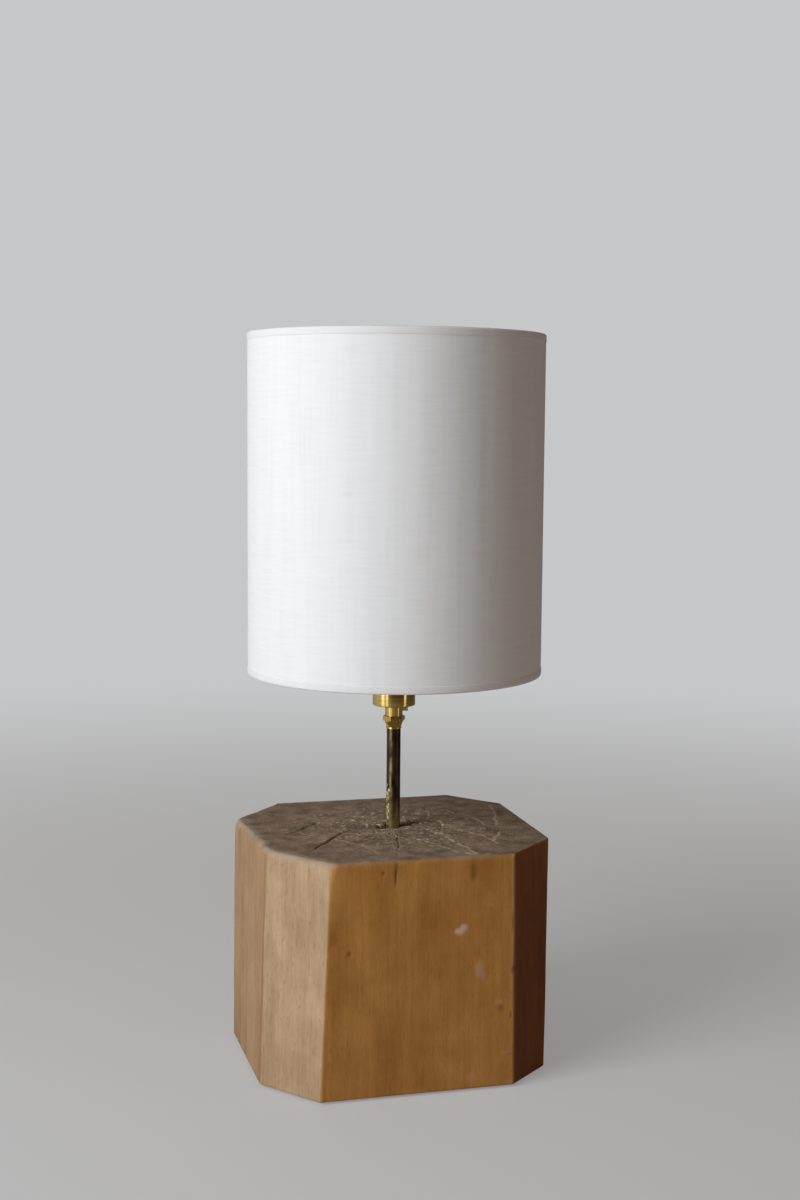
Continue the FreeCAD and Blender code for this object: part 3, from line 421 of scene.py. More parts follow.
def plan_normals(points):
    """Outward normals of a clockwise outline, in plan."""
    along = np.roll(points, -1, axis=0) - np.roll(points, 1, axis=0)
    normal = np.column_stack([-along[:, 1], along[:, 0]])
    return normal / np.linalg.norm(normal, axis=1)[:, None]


# %% [markdown]
# The grid's rows run up the bore for the rod, out across the top, over the worn rim, down the
# sides, in under the foot and up into the recess for the nut. The rim is worn widest along the
# left and front left, where the photograph shows a pale rounded band.

# %% The block's rows
ROD_HOLE, NUT_RECESS, RECESS_ROOF = 5.4, 23.0, 24.0
ROOF_RADII = (17.0, 11.0)
HOLLOW_FLOOR = 191.2
BORE_ROWS, TOP_ROWS, RIM_ROWS, SIDE_ROWS, UNDER_ROWS = 8, 104, 8, 127, 12
# above 1, the top's rows stand closer together in the middle
TOP_CROWDING = 1.12
RIM_LEAST, RIM_MORE_LEFT, RIM_VARIES = 1.5, 4.0, 0.35
# the foot's small bevel: how tall it is, and (inset, level) of its rows
BEVEL_TALL, BEVEL_ROWS = 1.0, [(0.35, 2.35), (1.0, BLOCK_FOOT_LEVEL)]
# where the underside's rows start, as a share of the foot's outline
UNDERSIDE_SHARE = 0.985
# the way that the palest side faces, in plan
TOWARD_LEFT = np.array([-0.93, -0.37])

top_outline = outline_at(BLOCK_TOP_LEVEL)
outward = plan_normals(top_outline)
bearing = top_outline / np.linalg.norm(top_outline, axis=1)[:, None]
# rim wear in mm for each column: wide on the left, narrow and a little wavy at the front
toward_left = smoothstep(-0.2, 0.9, outward @ TOWARD_LEFT)
wavy = noise(np.column_stack([top_outline, np.zeros(len(top_outline))]), (14, 14, 1), seed=5,
             octaves=2)
RIM = (RIM_LEAST + RIM_MORE_LEFT * toward_left) * (1 + RIM_VARIES * wavy)
rows, kinds = [], []


def add_row(kind, places, level):
    """Add a row of points, given in plan, at one level or at one for each point."""
    rows.append(np.column_stack([places, np.broadcast_to(level, len(places))]))
    kinds.append(kind)


for level in np.linspace(RECESS_ROOF, HOLLOW_FLOOR, BORE_ROWS)[:-1]:
    add_row("bore", bearing * ROD_HOLE, level)
inner = top_outline - outward * RIM[:, None]
for share in np.linspace(0, 1, TOP_ROWS) ** TOP_CROWDING:
    add_row("top", bearing * ROD_HOLE * (1 - share) + inner * share, BLOCK_TOP_LEVEL)
for turned in np.linspace(0, math.pi / 2, RIM_ROWS)[1:]:
    drop = RIM * (1 - math.cos(turned))
    inset = RIM * (1 - math.sin(turned))
    add_row("rim", top_outline - outward * inset[:, None], BLOCK_TOP_LEVEL - drop)
outwards = [outward] * len(rows)
side_top, side_foot = BLOCK_TOP_LEVEL - RIM, BLOCK_FOOT_LEVEL + BEVEL_TALL
for share in np.linspace(0, 1, SIDE_ROWS)[1:]:
    outline = outline_at(BLOCK_TOP_LEVEL * (1 - share) + side_foot * share)
    add_row("side", outline, side_top * (1 - share) + side_foot * share)
    outwards.append(plan_normals(outline))
foot_outline = outline_at(BLOCK_FOOT_LEVEL)
foot_outward = plan_normals(foot_outline)
for inset, level in BEVEL_ROWS:
    add_row("foot", foot_outline - foot_outward * inset, level)
for share in np.linspace(0, 1, UNDER_ROWS)[1:]:
    places = foot_outline * UNDERSIDE_SHARE * (1 - share) + bearing * NUT_RECESS * share
    add_row("foot", places, BLOCK_FOOT_LEVEL)
for level in np.linspace(BLOCK_FOOT_LEVEL, RECESS_ROOF, UNDER_ROWS)[1:]:
    add_row("recess", bearing * NUT_RECESS, level)
for roof_radius in ROOF_RADII:
    add_row("recess", bearing * roof_radius, RECESS_ROOF)
outwards = np.concatenate(outwards + [foot_outward] * (len(rows) - len(outwards)))
block_grid = np.stack(rows)
kind_of = np.repeat(np.array(kinds), len(STATIONS))
print("block rows:", len(rows))

# %% [markdown]
# Marks on the top: the hollow round the tube reaches further to the right and left than to the
# front; checks run outwards from it; small pits and torn fibres cover the middle. Each is a
# depth in mm at every point, and the same numbers tell the material where to go dark. First come
# the checks, the cracks that open as a beam dries: each is a wandering line, widest in its middle.

# %% Checks in the end grain
def distance_to_path(points, path):
    """Distance in plan from each point to a line through some corners, and how far along it."""
    best = np.full(len(points), np.inf)
    along = np.zeros(len(points))
    path = np.array(path, float)
    for number in range(len(path) - 1):
        start, step = path[number], path[number + 1] - path[number]
        share = np.clip((points - start) @ step / (step @ step), 0, 1)
        gap = np.linalg.norm(points - start - share[:, None] * step, axis=1)
        nearer = gap < best
        best[nearer] = gap[nearer]
        along[nearer] = ((number + share) / (len(path) - 1))[nearer]
    return best, along


spots = block_grid.reshape(-1, 3)
plan = spots[:, :2]
from_axis = np.linalg.norm(plan, axis=1)
azimuth = np.arctan2(plan[:, 1], plan[:, 0])
on_top = kind_of == "top"

# (path in mm, half width, depth) of each check seen on the top
CHECKS = [
    ([(-40, 21), (-62, 26), (-80, 6), (-98, -14)], 1.1, 2.2),
    ([(-40, -8), (-49, -14), (-70, -44), (-88, -70)], 1.2, 3.0),
    ([(-4, -6), (-2, -18), (-10, -55), (-17, -80), (-24, -111)], 0.6, 1.1),
    ([(8, 5), (24, 9), (34, 6)], 1.4, 3.5),
    ([(-8, 6), (-20, 14), (-46, 50)], 0.6, 1.4),
    ([(20, -6), (62, -22), (96, -30)], 0.5, 1.2),
]
WANDER = 1.6
wander = np.column_stack([noise(spots, (9, 9, 9), seed=11, octaves=2),
                          noise(spots, (9, 9, 9), seed=12, octaves=2)]) * WANDER
checks = np.zeros(len(spots))
for path, half, depth in CHECKS:
    gap, along = distance_to_path(plan + wander, path)
    # widest in the middle, narrow at both ends
    width = half * (0.35 + 1.3 * np.sin(math.pi * np.clip(along, 0.02, 0.98)))
    checks = np.maximum(checks, depth * np.clip(1 - gap / width, 0, 1))
# here and there a check nearly closes
checks *= 0.35 + 0.65 * smoothstep(-0.35, 0.15, noise(spots, (9, 9, 9), seed=13, octaves=2))
print("checks:", len(CHECKS), "up to", round(float(checks.max()), 2), "mm deep")

# %% [markdown]
# The hollow's edge, in mm from the axis, changes with direction, and noise makes it ragged. A
# smooth step on the distance to that edge gives it sloping walls.

# %% The pith hollow
HOLLOW_LEAST, HOLLOW_RAGGED = 7.6, 1.4
MORE_RIGHT, MORE_LEFT, MORE_BACK = 13, 9, 5
reach_right = MORE_RIGHT * np.exp(-((azimuth - 0.25) / 0.42) ** 2)
reach_left = MORE_LEFT * np.exp(-((np.abs(azimuth) - math.pi + 0.2) / 0.5) ** 2)
reach_back = MORE_BACK * np.exp(-((azimuth - 1.6) / 0.9) ** 2)
ragged = HOLLOW_RAGGED * noise(spots, (5, 5, 5), seed=21, octaves=2)
edge = HOLLOW_LEAST + reach_right + reach_left + reach_back + ragged
slope = 1.5 + 0.35 * (edge - HOLLOW_LEAST)
inside = 1 - smoothstep(0, 1, (from_axis - edge + slope) / slope)
hollow = (BLOCK_TOP_LEVEL - HOLLOW_FLOOR) * inside
print("hollow: from", round(float(edge.min()), 1), "to", round(float(edge.max()), 1), "mm out")

# %% [markdown]
# The saw has torn fibres up round the middle and left pits between them. Growth rings are felt
# more than seen, and out towards the rim the top is worn a little lower.

# %% Torn fibres, pits and rings
PIT_DEPTH, TORN_HEIGHT, RING_DEPTH, OUTER_WEAR = 1.6, 0.85, 0.07, 0.30
TORN_REACH, RING_SPACING = 62, 3.4
HIGHEST, DEEPEST = 0.35, 6.0
torn_place = np.hypot(plan[:, 0] - 12, plan[:, 1]) + 10 * noise(spots, (22, 22, 22), seed=36)
torn = 0.16 + 0.84 * np.exp(-(torn_place / TORN_REACH) ** 4)
lumps = noise(spots, (3.6, 3.6, 3.6), seed=31, octaves=3)
pits = smoothstep(0.30, 0.62, noise(spots, (3.6, 3.6, 3.6), seed=32, octaves=2)) * torn
ring_radius = from_axis * (1 + 0.05 * noise(spots, (40, 40, 40), seed=33))
rings = np.sin(2 * math.pi * ring_radius / RING_SPACING)
outer_wear = OUTER_WEAR * smoothstep(60, 120, from_axis)
top_depth = (checks + hollow + PIT_DEPTH * pits - torn * TORN_HEIGHT * lumps
             - RING_DEPTH * rings + outer_wear * (1 + noise(spots, (50, 50, 50), seed=34)))
# the first row stands on the hollow's floor, and the last one meets the rim
top_depth = np.where(on_top, np.clip(top_depth, -HIGHEST, DEEPEST), 0)
print("deepest mark on the top:", round(float(top_depth.max()), 2), "mm")

# %% [markdown]
# Pale scratches cross the top. They are too shallow to shape, so they only lighten the colour.

# %% Scratches on the top
# (path in mm, half width) of each scratch
SCRATCHES = [
    ([(32, -33), (38, -70), (44, -103)], 1.1), ([(107, 58), (100, 20), (88, -16)], 0.9),
    ([(62, 44), (76, 18), (80, -12)], 0.8), ([(48, -20), (66, -48), (70, -76)], 0.9),
    ([(14, -58), (26, -84), (30, -100)], 0.8), ([(-60, -30), (-40, -62), (-34, -90)], 0.6),
    ([(84, -40), (70, -66)], 0.9), ([(-96, 10), (-74, -20)], 0.6),
    ([(34, -98), (42, -106), (54, -104)], 2.0)]
scratched = np.zeros(len(spots))
for path, half in SCRATCHES:
    gap = distance_to_path(plan + 1.5 * wander, path)[0]
    scratched = np.maximum(scratched, np.clip(1.6 - gap / half, 0, 1))
scratched *= smoothstep(-0.5, 0.1, noise(spots, (5, 5, 5), seed=35, octaves=2)) * on_top
print("scratches:", len(SCRATCHES))

# %% [markdown]
# Marks on the sides: planing by hand leaves long shallow waves, dried fibres leave fine upright
# ridges, and knocks leave a few dents. Each mark of the front face is given in mm by its place
# across and up, its half sizes and its depth, and each pale scuff or dark stain by its strength,
# from 0 to 1, in place of the depth.

# %% Marks on the sides
FRONT_MARKS = [
    (-26, 186, 0.7, 9, 0.9), (-37, 187, 1.0, 1.4, 0.9), (-64, 123, 1.5, 2.4, 0.6),
    (74, 100, 1.6, 3.0, 0.4), (64, 68, 2.4, 3.2, 0.35), (71, 29, 3.2, 1.1, 0.35),
    (45, 118, 0.6, 4.0, 0.5), (72, 62, 0.8, 2.6, 0.6), (39, 184, 2.0, 6.0, 0.25),
    (-24.5, 191, 0.8, 4.0, 0.5), (73, 140, 0.9, 9.0, 0.35),
]
CHALK_MARKS = [(27, 136, 4.6, 2.9, 1.0), (30.5, 138.5, 3.0, 3.2, 0.9), (45, 102, 4.0, 6.5, 0.30),
               (62, 74, 4.5, 3.5, 0.16), (38, 12, 5.0, 4.0, 0.16), (68, 30, 4.0, 2.5, 0.18)]
STAINS = [(39, 184, 4.0, 9.0, 0.8), (-78, 136, 3.0, 7.0, 0.6), (-24, 190, 3.0, 9.0, 0.5),
          (-30, 36, 26.0, 15.0, 0.22), (30, 34, 16.0, 10.0, 0.2), (-76, 112, 7.0, 6.0, 0.3),
          (52, 128, 5.0, 12.0, 0.25), (-5, 14, 30.0, 9.0, 0.2), (66, 14, 8.0, 9.0, 0.25)]
# the left face's number in the outline, and how far forward the front face is
LEFT_SIDE, FRONT_LIMIT = 7, -100
on_side = np.isin(kind_of, ("side", "rim", "foot"))
on_front = plan[:, 1] < FRONT_LIMIT
side_number = np.tile(SIDE_OF, len(rows))
on_left = (side_number == LEFT_SIDE) & on_side

waves = 0.75 * noise(spots, (70, 70, 80), seed=41) + 0.25 * noise(spots, (24, 24, 60), seed=42)
fibres = noise(spots, (2.6, 2.6, 70), seed=43, octaves=2)
dents = np.zeros(len(spots))
wobble = noise(spots, (6, 6, 6), seed=44) * 0.8
for across, height, half_wide, half_high, depth in FRONT_MARKS:
    gap = np.hypot((plan[:, 0] - across + wobble) / half_wide,
                   (spots[:, 2] - height + wobble) / half_high)
    dents = np.maximum(dents, np.where(on_front & on_side, depth, 0) * np.clip(1.4 - gap, 0, 1))


def front_patches(marks, seed):
    """How strongly each point lies in one of the front face's soft-edged patches."""
    ragged = noise(spots, (5, 5, 7), seed=seed, octaves=2)
    covered = np.zeros(len(spots))
    for across, height, half_wide, half_high, strength in marks:
        gap = np.hypot((plan[:, 0] - across) / half_wide, (spots[:, 2] - height) / half_high)
        inside = strength * smoothstep(1.35, 0.45, gap + 0.45 * ragged)
        covered = np.maximum(covered, np.where(on_front, inside, 0))
    return covered * on_side


print("marks on the front:", len(FRONT_MARKS) + len(CHALK_MARKS) + len(STAINS))

# %% [markdown]
# A narrow split, brown with old wax, sways down the soft edge at the left, and brown streaks show
# where the left face's early wood is open. The split is a line that sways with height, and the
# streaks are noise stretched upright, so they run with the grain. Then all the marks are added up.

# %% The split and the streaks
LEFT_LIMIT = -100
WAVES, FIBRES, MORE_FIBRES_LEFT = 0.34, 0.08, 0.12
SPLIT_INSET, SPLIT_SWAY, SPLIT_DEPTH, STREAK_DEPTH = 2.4, 2.2, 0.4, 0.25
# below this level the marks only go inwards, so that nothing pokes down into the felt
FOOT_KEPT = 3.2

up_share = (spots[:, 2] - BLOCK_FOOT_LEVEL) / (BLOCK_TOP_LEVEL - BLOCK_FOOT_LEVEL)
left_edge_y = BLOCK_FOOT[LEFT_SIDE, 1] * (1 - up_share) + BLOCK_TOP[LEFT_SIDE, 1] * up_share
sway = SPLIT_SWAY * noise(np.column_stack([spots[:, 2]] * 3), (34, 34, 34), seed=45, octaves=3)
split_gap = np.abs(plan[:, 1] - left_edge_y - SPLIT_INSET - sway)
split = np.where(on_side & (plan[:, 0] < LEFT_LIMIT), smoothstep(3.6, 0.6, split_gap), 0)
# it runs out near the rim and near the foot, and is stronger in some places than in others
split *= smoothstep(198, 188, spots[:, 2]) * smoothstep(4, 12, spots[:, 2])
split *= 0.65 + 0.35 * noise(spots, (12, 12, 12), seed=46, octaves=2)
streaks = smoothstep(0.05, 0.55, noise(spots, (900, 9, 210), seed=47, octaves=2)) * on_left

side_push = waves * WAVES + fibres * (FIBRES + MORE_FIBRES_LEFT * on_left) - dents
side_push = np.where(on_side, side_push - SPLIT_DEPTH * split - STREAK_DEPTH * streaks, 0)
side_push = np.where(spots[:, 2] < FOOT_KEPT, np.minimum(side_push, 0), side_push)
print("deepest mark on the sides:", round(float(-side_push.min()), 2), "mm")

# %% [markdown]
# The grid is moved by those depths: the sides along their own normals, the top straight down. Two
# displace modifiers could do that from stored depths, but here the numbers stay in sight.

# %% Build the block
def grid_normals(grid):
    """Unit normals of a grid whose rows and columns both close on themselves."""
    down = np.roll(grid, -1, axis=0) - np.roll(grid, 1, axis=0)
    sideways = np.roll(grid, -1, axis=1) - np.roll(grid, 1, axis=1)
    normal = np.cross(down, sideways)
    return normal / np.maximum(np.linalg.norm(normal, axis=2), 1e-9)[..., None]


normals = grid_normals(block_grid).reshape(-1, 3)
facing_out = np.sum(normals[:, :2] * plan, axis=1)[kind_of == "side"] > 0
if facing_out.mean() < 0.5:
    normals = -normals
moved = spots + normals * side_push[:, None]
moved[:, 2] -= top_depth
block = grid_mesh("wood_block_worn", moved.reshape(block_grid.shape), closed_rows=True,
                  smooth_angle=70)

# %% [markdown]
# The material has to know what each point is: bare end grain or waxed side, a worn corner or rim,
# the pale left with its painted sheen or the right with its painted shade, a mark or a stain. An
# image could be painted for that, but all of it follows from the shape, so each is a number from 0
# to 1 that is stored on the points.

# %% Masks for the wood
# how pale wear has left each corner, in the outline's order
PALE_CORNERS = np.array([0.6, 0.6, 0.6, 0.6, 0.8, 1.0, 0.1, 0.3])
CORNER_REACH, RIM_REACH, RIM_RAGGED = 2.2, 3.2, 3.4
# the way that the darkest side faces, in plan; that side is painted darker, as painted shade over
# a darker stain
TOWARD_RIGHT = np.array([0.93, -0.37])
# LEFT_PALENESS scales the painted sheen on the left face, RIGHT_PALER_UP fades the right's painted
# shade towards the top, and FULLY_SUNK is the depth in mm at which sunk points are fully dark
LEFT_PALENESS, RIGHT_PALER_UP, FULLY_SUNK = 0.80, 0.14, 3.0

end_grain = np.where(on_top, 1.0, 0.0)
rim_rows = [number for number, kind in enumerate(kinds) if kind == "rim"]
for count, row in enumerate(rim_rows, start=1):
    end_grain[row * len(STATIONS):(row + 1) * len(STATIONS)] = 1 - count / len(rim_rows)
lengths = np.linalg.norm(np.roll(BLOCK_TOP, -1, axis=0) - BLOCK_TOP, axis=1)
corner_gap = np.minimum(PLACE_ON, 1 - PLACE_ON) * lengths[SIDE_OF]
nearest_corner = (SIDE_OF + (PLACE_ON > 0.5)) % SIDES
corner_wear = np.exp(-(corner_gap / CORNER_REACH) ** 2) * PALE_CORNERS[nearest_corner]
# sides facing left, towards the key light, are painted paler: partly dry bleached wood, partly
# painted sheen; sides facing right are painted darker as painted shade over a darker stain
pale_side_and_sheen = smoothstep(0.62, 0.80, outwards @ TOWARD_LEFT)
right_shade_and_stain = smoothstep(0.30, 0.60, outwards @ TOWARD_RIGHT)
right_shade_and_stain *= 1 - RIGHT_PALER_UP * smoothstep(90, 200, spots[:, 2])
rim_from_axis = np.tile(np.linalg.norm(inner, axis=1), len(rows))
from_rim = np.where(on_top, rim_from_axis - from_axis, BLOCK_TOP_LEVEL - spots[:, 2])
rim_reach = RIM_REACH + RIM_RAGGED * noise(spots, (6, 6, 6), seed=51, octaves=3)
rim_wear = np.exp(-(np.maximum(from_rim, 0) / rim_reach) ** 2)
rim_wear *= 0.5 + 0.5 * smoothstep(-0.35, 0.35, noise(spots, (9, 9, 6), seed=52, octaves=3))
by_foot = smoothstep(100, 0, spots[:, 2]) * pale_side_and_sheen
stains = front_patches(STAINS, seed=62) + 0.8 * split + 0.55 * streaks
wood_masks = {
    "end_grain": end_grain,
    # the deeper a point is sunk, the darker: dirt and painted shade
    "sunk_dirt_and_shade": np.clip(top_depth / FULLY_SUNK, 0, 1) * on_top + np.clip(dents, 0, 0.8),
    "worn_edge": np.clip(np.tile(corner_wear, len(rows)) * on_side, 0, 1),
    "worn_rim": np.clip(rim_wear * smoothstep(0.3, 0.8, outwards @ TOWARD_LEFT), 0, 1),
    "pale_side_and_sheen": pale_side_and_sheen * np.where(side_number == LEFT_SIDE, LEFT_PALENESS, 1),
    "right_shade_and_stain": right_shade_and_stain,
    "chalky": front_patches(CHALK_MARKS, seed=61) + 0.9 * scratched,
    # real stains, the split and the streaks, plus the whole left face darkened as painted shade,
    # and the pale side darker towards the foot
    "stains_and_shade": np.clip(stains + 0.42 * on_left + 0.20 * by_foot, 0, 1)}
for name, values in wood_masks.items():
    set_mask(block.data, name, values)
    print("mask", name, "covers", round(float(np.mean(values)), 3))

# %% [markdown]
# The flex goes in low at the back. A Boolean modifier with a round cutter opens the hole; its
# result becomes the block's own mesh, and the cutter is thrown away.

# %% Bore the flex hole
FLEX_HOLE_RADIUS, FLEX_HOLE_LEVEL = 6.0, 14.0
CUTTER_MIDDLE, CUTTER_LENGTH, CUTTER_SIDES = 60.0, 100.0, 48


def cut_round_hole(piece, centre, along, radius, length):
    """Bore a round hole through a piece, all in mm."""
    shape = bmesh.new()
    bmesh.ops.create_cone(shape, cap_ends=True, segments=CUTTER_SIDES, radius1=radius * MM,
                          radius2=radius * MM, depth=length * MM)
    cutter_mesh = bpy.data.meshes.new("cutter")
    shape.to_mesh(cutter_mesh)
    shape.free()
    cutter = bpy.data.objects.new("cutter", cutter_mesh)
    scene.collection.objects.link(cutter)
    cutter.rotation_mode = "QUATERNION"
    cutter.rotation_quaternion = Vector((0, 0, 1)).rotation_difference(Vector(along))
    cutter.location = Vector(centre) * MM
    bore = piece.modifiers.new("bore", "BOOLEAN")
    bore.operation = "DIFFERENCE"
    bore.solver = "EXACT"
    bore.object = cutter
    bpy.context.view_layer.update()
    cut = bpy.data.meshes.new_from_object(
        piece.evaluated_get(bpy.context.evaluated_depsgraph_get()))
    piece.modifiers.clear()
    piece.data = cut
    bpy.data.objects.remove(cutter)


cut_round_hole(block, (0, CUTTER_MIDDLE, FLEX_HOLE_LEVEL), (0, 1, 0), FLEX_HOLE_RADIUS,
               CUTTER_LENGTH)
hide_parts("wood_block")
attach(block, "base")
print("block after boring:", len(block.data.vertices), "points")

# %% [markdown]
# ## Waxed old hardwood
# The wood is a pale close-grained hardwood such as beech or sycamore, planed, then darkened by
# years of wax and handling. That gives the eye a soft gleam, faint upright streaks a few
# millimetres wide, cloudy mottling, and amber where wax has built up. The front left is painted
# paler, partly as dry bleached wood and partly as painted sheen where the light falls on it; the
# right is painted darker, as painted shade over a darker stain. Streaks are noise stretched along
# the grain, so they stay upright on every face.

# %% Material: waxed sides
wood, tree, shader = new_material("waxed_old_hardwood", IOR=1.45, Specular_IOR_Level=0.3)
place = add(tree, "TexCoord", out=3)
# name: (mm across the grain, mm along it, detail, roughness)
GRAIN = {"streaks": (3.4, 60, 3.0, 0.55), "bands": (13, 120, 2.0, 0.5),
         "mottle": (20, 26, 4.0, 0.62), "clouds": (48, 60, 2.0, 0.5), "fibre": (1.1, 9, 2.0, 0.5),
         "ticks": (1.6, 6, 0.0, 0.5)}
GRAIN_LOW, GRAIN_HIGH = 0.33, 0.68
grain = {}
for name, (across, along, detail, rough) in GRAIN.items():
    scaled = add(tree, "Mapping", {0: place, 3: sized(across, across, along)})
    grain[name] = add(tree, "TexNoise", {"Vector": scaled, "Scale": 1.0, "Detail": detail,
                                         "Roughness": rough})


def blended(**shares):
    """A weighted mean of several grain noises, spread over 0 to 1."""
    total = 0.0
    for name, share in shares.items():
        total = add(tree, "Math", {0: grain[name], 1: share, 2: total}, operation="MULTIPLY_ADD")
    return add(tree, "MapRange", {0: total, 1: GRAIN_LOW, 2: GRAIN_HIGH})


cloudy = blended(streaks=0.18, bands=0.26, fibre=0.08, mottle=0.26, clouds=0.22)
streaky = blended(streaks=0.22, bands=0.26, fibre=0.12, mottle=0.24, clouds=0.16)
amber = add(tree, "ValToRGB", {0: cloudy}, stops=[
    (0.0, "9C662B"), (0.35, "AC7637"), (0.65, "B98341"), (1.0, "C6914D")])
# the front left's colour: dry bleached wood with painted sheen
pale = add(tree, "ValToRGB", {0: streaky}, stops=[
    (0.0, "8F7356"), (0.3, "A58867"), (0.6, "B69878"), (1.0, "C8AC8B")])
# the right's colour: painted shade over a darker stain
dark = add(tree, "ValToRGB", {0: streaky}, stops=[
    (0.0, "582905"), (0.5, "743B09"), (1.0, "8E500F")])
mask = {name: add(tree, "Attribute", out=2, attribute_name=name) for name in wood_masks}
# short dark fibre flecks, as beech has them
ticks = add(tree, "MapRange", {0: grain["ticks"], 1: 0.67, 2: 0.77, 3: 0.0, 4: 0.24})
side_colour = layered(tree, amber, [
    (mask["pale_side_and_sheen"], 1.0, pale), (mask["right_shade_and_stain"], 1.0, dark),
    (mask["worn_edge"], 0.30, "C9A06A"), (mask["stains_and_shade"], 0.50, "6F4519"), (ticks, 1.0, "6E4A22")])

# %% [markdown]
# The end grain is bare and has greyed in the light: growth rings about 3.4 mm apart, rays that
# run outwards from the pith, open pores, and near the middle torn fibres that catch the light. A
# pore is about 0.1 mm wide, too fine to show, so the pores here are drawn 2 mm apart.

# %% Material: bare end grain
# sizes in mm: slow drifts of tone, grey clouds, bright torn fibres, the step between pores
DRIFT_SIZE, GREY_SIZE, TORN_SIZE, PORE_STEP = 35.714, 14.286, 3.8462, 2.0833
RAYS_ROUND, RAY_LENGTH, RING_SWAY = 34.0, 26.316, 18.0
flat_place = add(tree, "VectorMath", {0: place, 1: (1, 1, 0)}, operation="MULTIPLY")
from_pith = add(tree, "VectorMath", {0: flat_place}, out=1, operation="LENGTH")
drift = add(tree, "TexNoise", {"Vector": place, "Scale": 1 / (DRIFT_SIZE * MM), "Detail": 2.0})
phase = add(tree, "Math", {0: drift, 1: RING_SWAY * MM, 2: from_pith}, operation="MULTIPLY_ADD")
phase = add(tree, "Math", {0: phase, 1: 2 * math.pi / (RING_SPACING * MM)}, operation="MULTIPLY")
ring_line = add(tree, "Math", {0: phase}, operation="SINE")
grey = add(tree, "TexNoise", {"Vector": place, "Scale": 1 / (GREY_SIZE * MM), "Detail": 5.0,
                              "Roughness": 0.58})
axes = add(tree, "SeparateXYZ", {0: place}, out=None)
bearing_angle = add(tree, "Math", {0: axes.outputs[1], 1: axes.outputs[0]}, operation="ARCTAN2")
ray_turn = add(tree, "Math", {0: bearing_angle, 1: RAYS_ROUND}, operation="MULTIPLY")
ray_reach = add(tree, "Math", {0: from_pith, 1: 1 / (RAY_LENGTH * MM)}, operation="MULTIPLY")
ray_place = add(tree, "CombineXYZ", {0: ray_turn, 1: ray_reach})
rays = add(tree, "TexNoise", {"Vector": ray_place, "Scale": 1.0, "Detail": 3.0})
tone = grey
for pattern, share in ((ring_line, 0.035), (rays, 0.12), (drift, 0.22)):
    tone = add(tree, "Math", {0: pattern, 1: share, 2: tone}, operation="MULTIPLY_ADD")
end_colour = add(tree, "ValToRGB", {0: tone}, stops=[
    (0.42, "5E4C3E"), (0.58, "796654"), (0.74, "8E7966"), (0.95, "A8917A")])
middle = add(tree, "MapRange", {0: from_pith, 1: 0.03, 2: 0.095, 3: 1.0, 4: 0.15})
pores = add(tree, "TexVoronoi", {"Vector": place, "Scale": 1 / (PORE_STEP * MM)})
pores = add(tree, "MapRange", {0: pores, 1: 0.16, 2: 0.38, 3: 0.8, 4: 0.0})
torn_fibres = add(tree, "TexNoise", {"Vector": place, "Scale": 1 / (TORN_SIZE * MM), "Detail": 2.0})
torn_fibres = add(tree, "MapRange", {0: torn_fibres, 1: 0.57, 2: 0.66, 3: 0.0, 4: 0.85})
end_colour = layered(tree, end_colour, [(pores, middle, "33261D"), (torn_fibres, middle, "CDBBA0")])
print("end grain: rings", RING_SPACING, "mm apart")

# %% [markdown]
# The masks on the points now choose between the two, and what age has left comes over both: the
# rim rubbed pale and chalky scuffs. Whatever is sunk is darkened by its depth, as dirt and as
# painted shade. Wax makes the sides half glossy, while bare end grain is nearly matt. A very low
# relief along the fibres breaks up the gleam.

# %% Material: join sides and end grain
WOOD_RELIEF = 0.6
# sunk points go near black, as dirt and painted shade
colour = layered(tree, side_colour, [
    (mask["end_grain"], 1.0, end_colour), (mask["worn_rim"], 0.72, "B8A48C"),
    (mask["chalky"], 0.80, "CBB89E"), (mask["sunk_dirt_and_shade"], 0.85, "2E1F16")])
tree.links.new(colour, shader.inputs["Base Color"])
gleam = add(tree, "MapRange", {0: grain["mottle"], 1: 0.3, 2: 0.7, 3: 0.48, 4: 0.62})
gleam = add(tree, "Mix", {0: mask["end_grain"], 2: gleam, 3: 0.85})
tree.links.new(gleam, shader.inputs["Roughness"])
relief = add(tree, "Math", {0: grain["fibre"], 1: 0.5, 2: grain["streaks"]},
             operation="MULTIPLY_ADD")
relief = add(tree, "Mix", {0: mask["end_grain"], 2: relief, 3: grey})
bump = add(tree, "Bump", {"Height": relief, "Strength": 0.22, "Distance": WOOD_RELIEF * MM})
tree.links.new(bump, shader.inputs["Normal"])
block.data.materials.append(wood)
print("wood: a tree of", len(tree.nodes), "nodes")

# %% [markdown]
# ## The felt
# Thin dark wool felt under the block, cut a finger's width in from its edge, so that in the
# photograph it only shows as a dark gap. It is cut with scissors, so its edge wanders a little,
# and the block's weight rounds it over. Hair would be lost under the block; a soft edge isn't.

# %% Cut the felt
FELT_INSET = 8.0
FELT_POINTS_PER_SIDE = 60
SNIP = 0.5


def drawn_in(corners, inset):
    """A clockwise outline whose sides are all drawn in by the same distance."""
    along = np.roll(corners, -1, axis=0) - corners
    inward = np.column_stack([along[:, 1], -along[:, 0]])
    inward /= np.linalg.norm(inward, axis=1)[:, None]
    before = np.roll(inward, 1, axis=0)
    return corners + inset * (inward + before) / (1 + np.sum(inward * before, axis=1))[:, None]


felt_corners = drawn_in(BLOCK_FOOT, FELT_INSET)
share = np.arange(FELT_POINTS_PER_SIDE)[:, None] / FELT_POINTS_PER_SIDE
felt_edge = np.concatenate([start + (end - start) * share for start, end in
                            zip(felt_corners, np.roll(felt_corners, -1, axis=0))])
snipped = noise(np.column_stack([felt_edge, np.zeros(len(felt_edge))]), (26, 26, 1), seed=71,
                octaves=2)
from_middle = felt_edge / np.linalg.norm(felt_edge, axis=1)[:, None]
felt_edge -= from_middle * (SNIP + SNIP * snipped)[:, None]
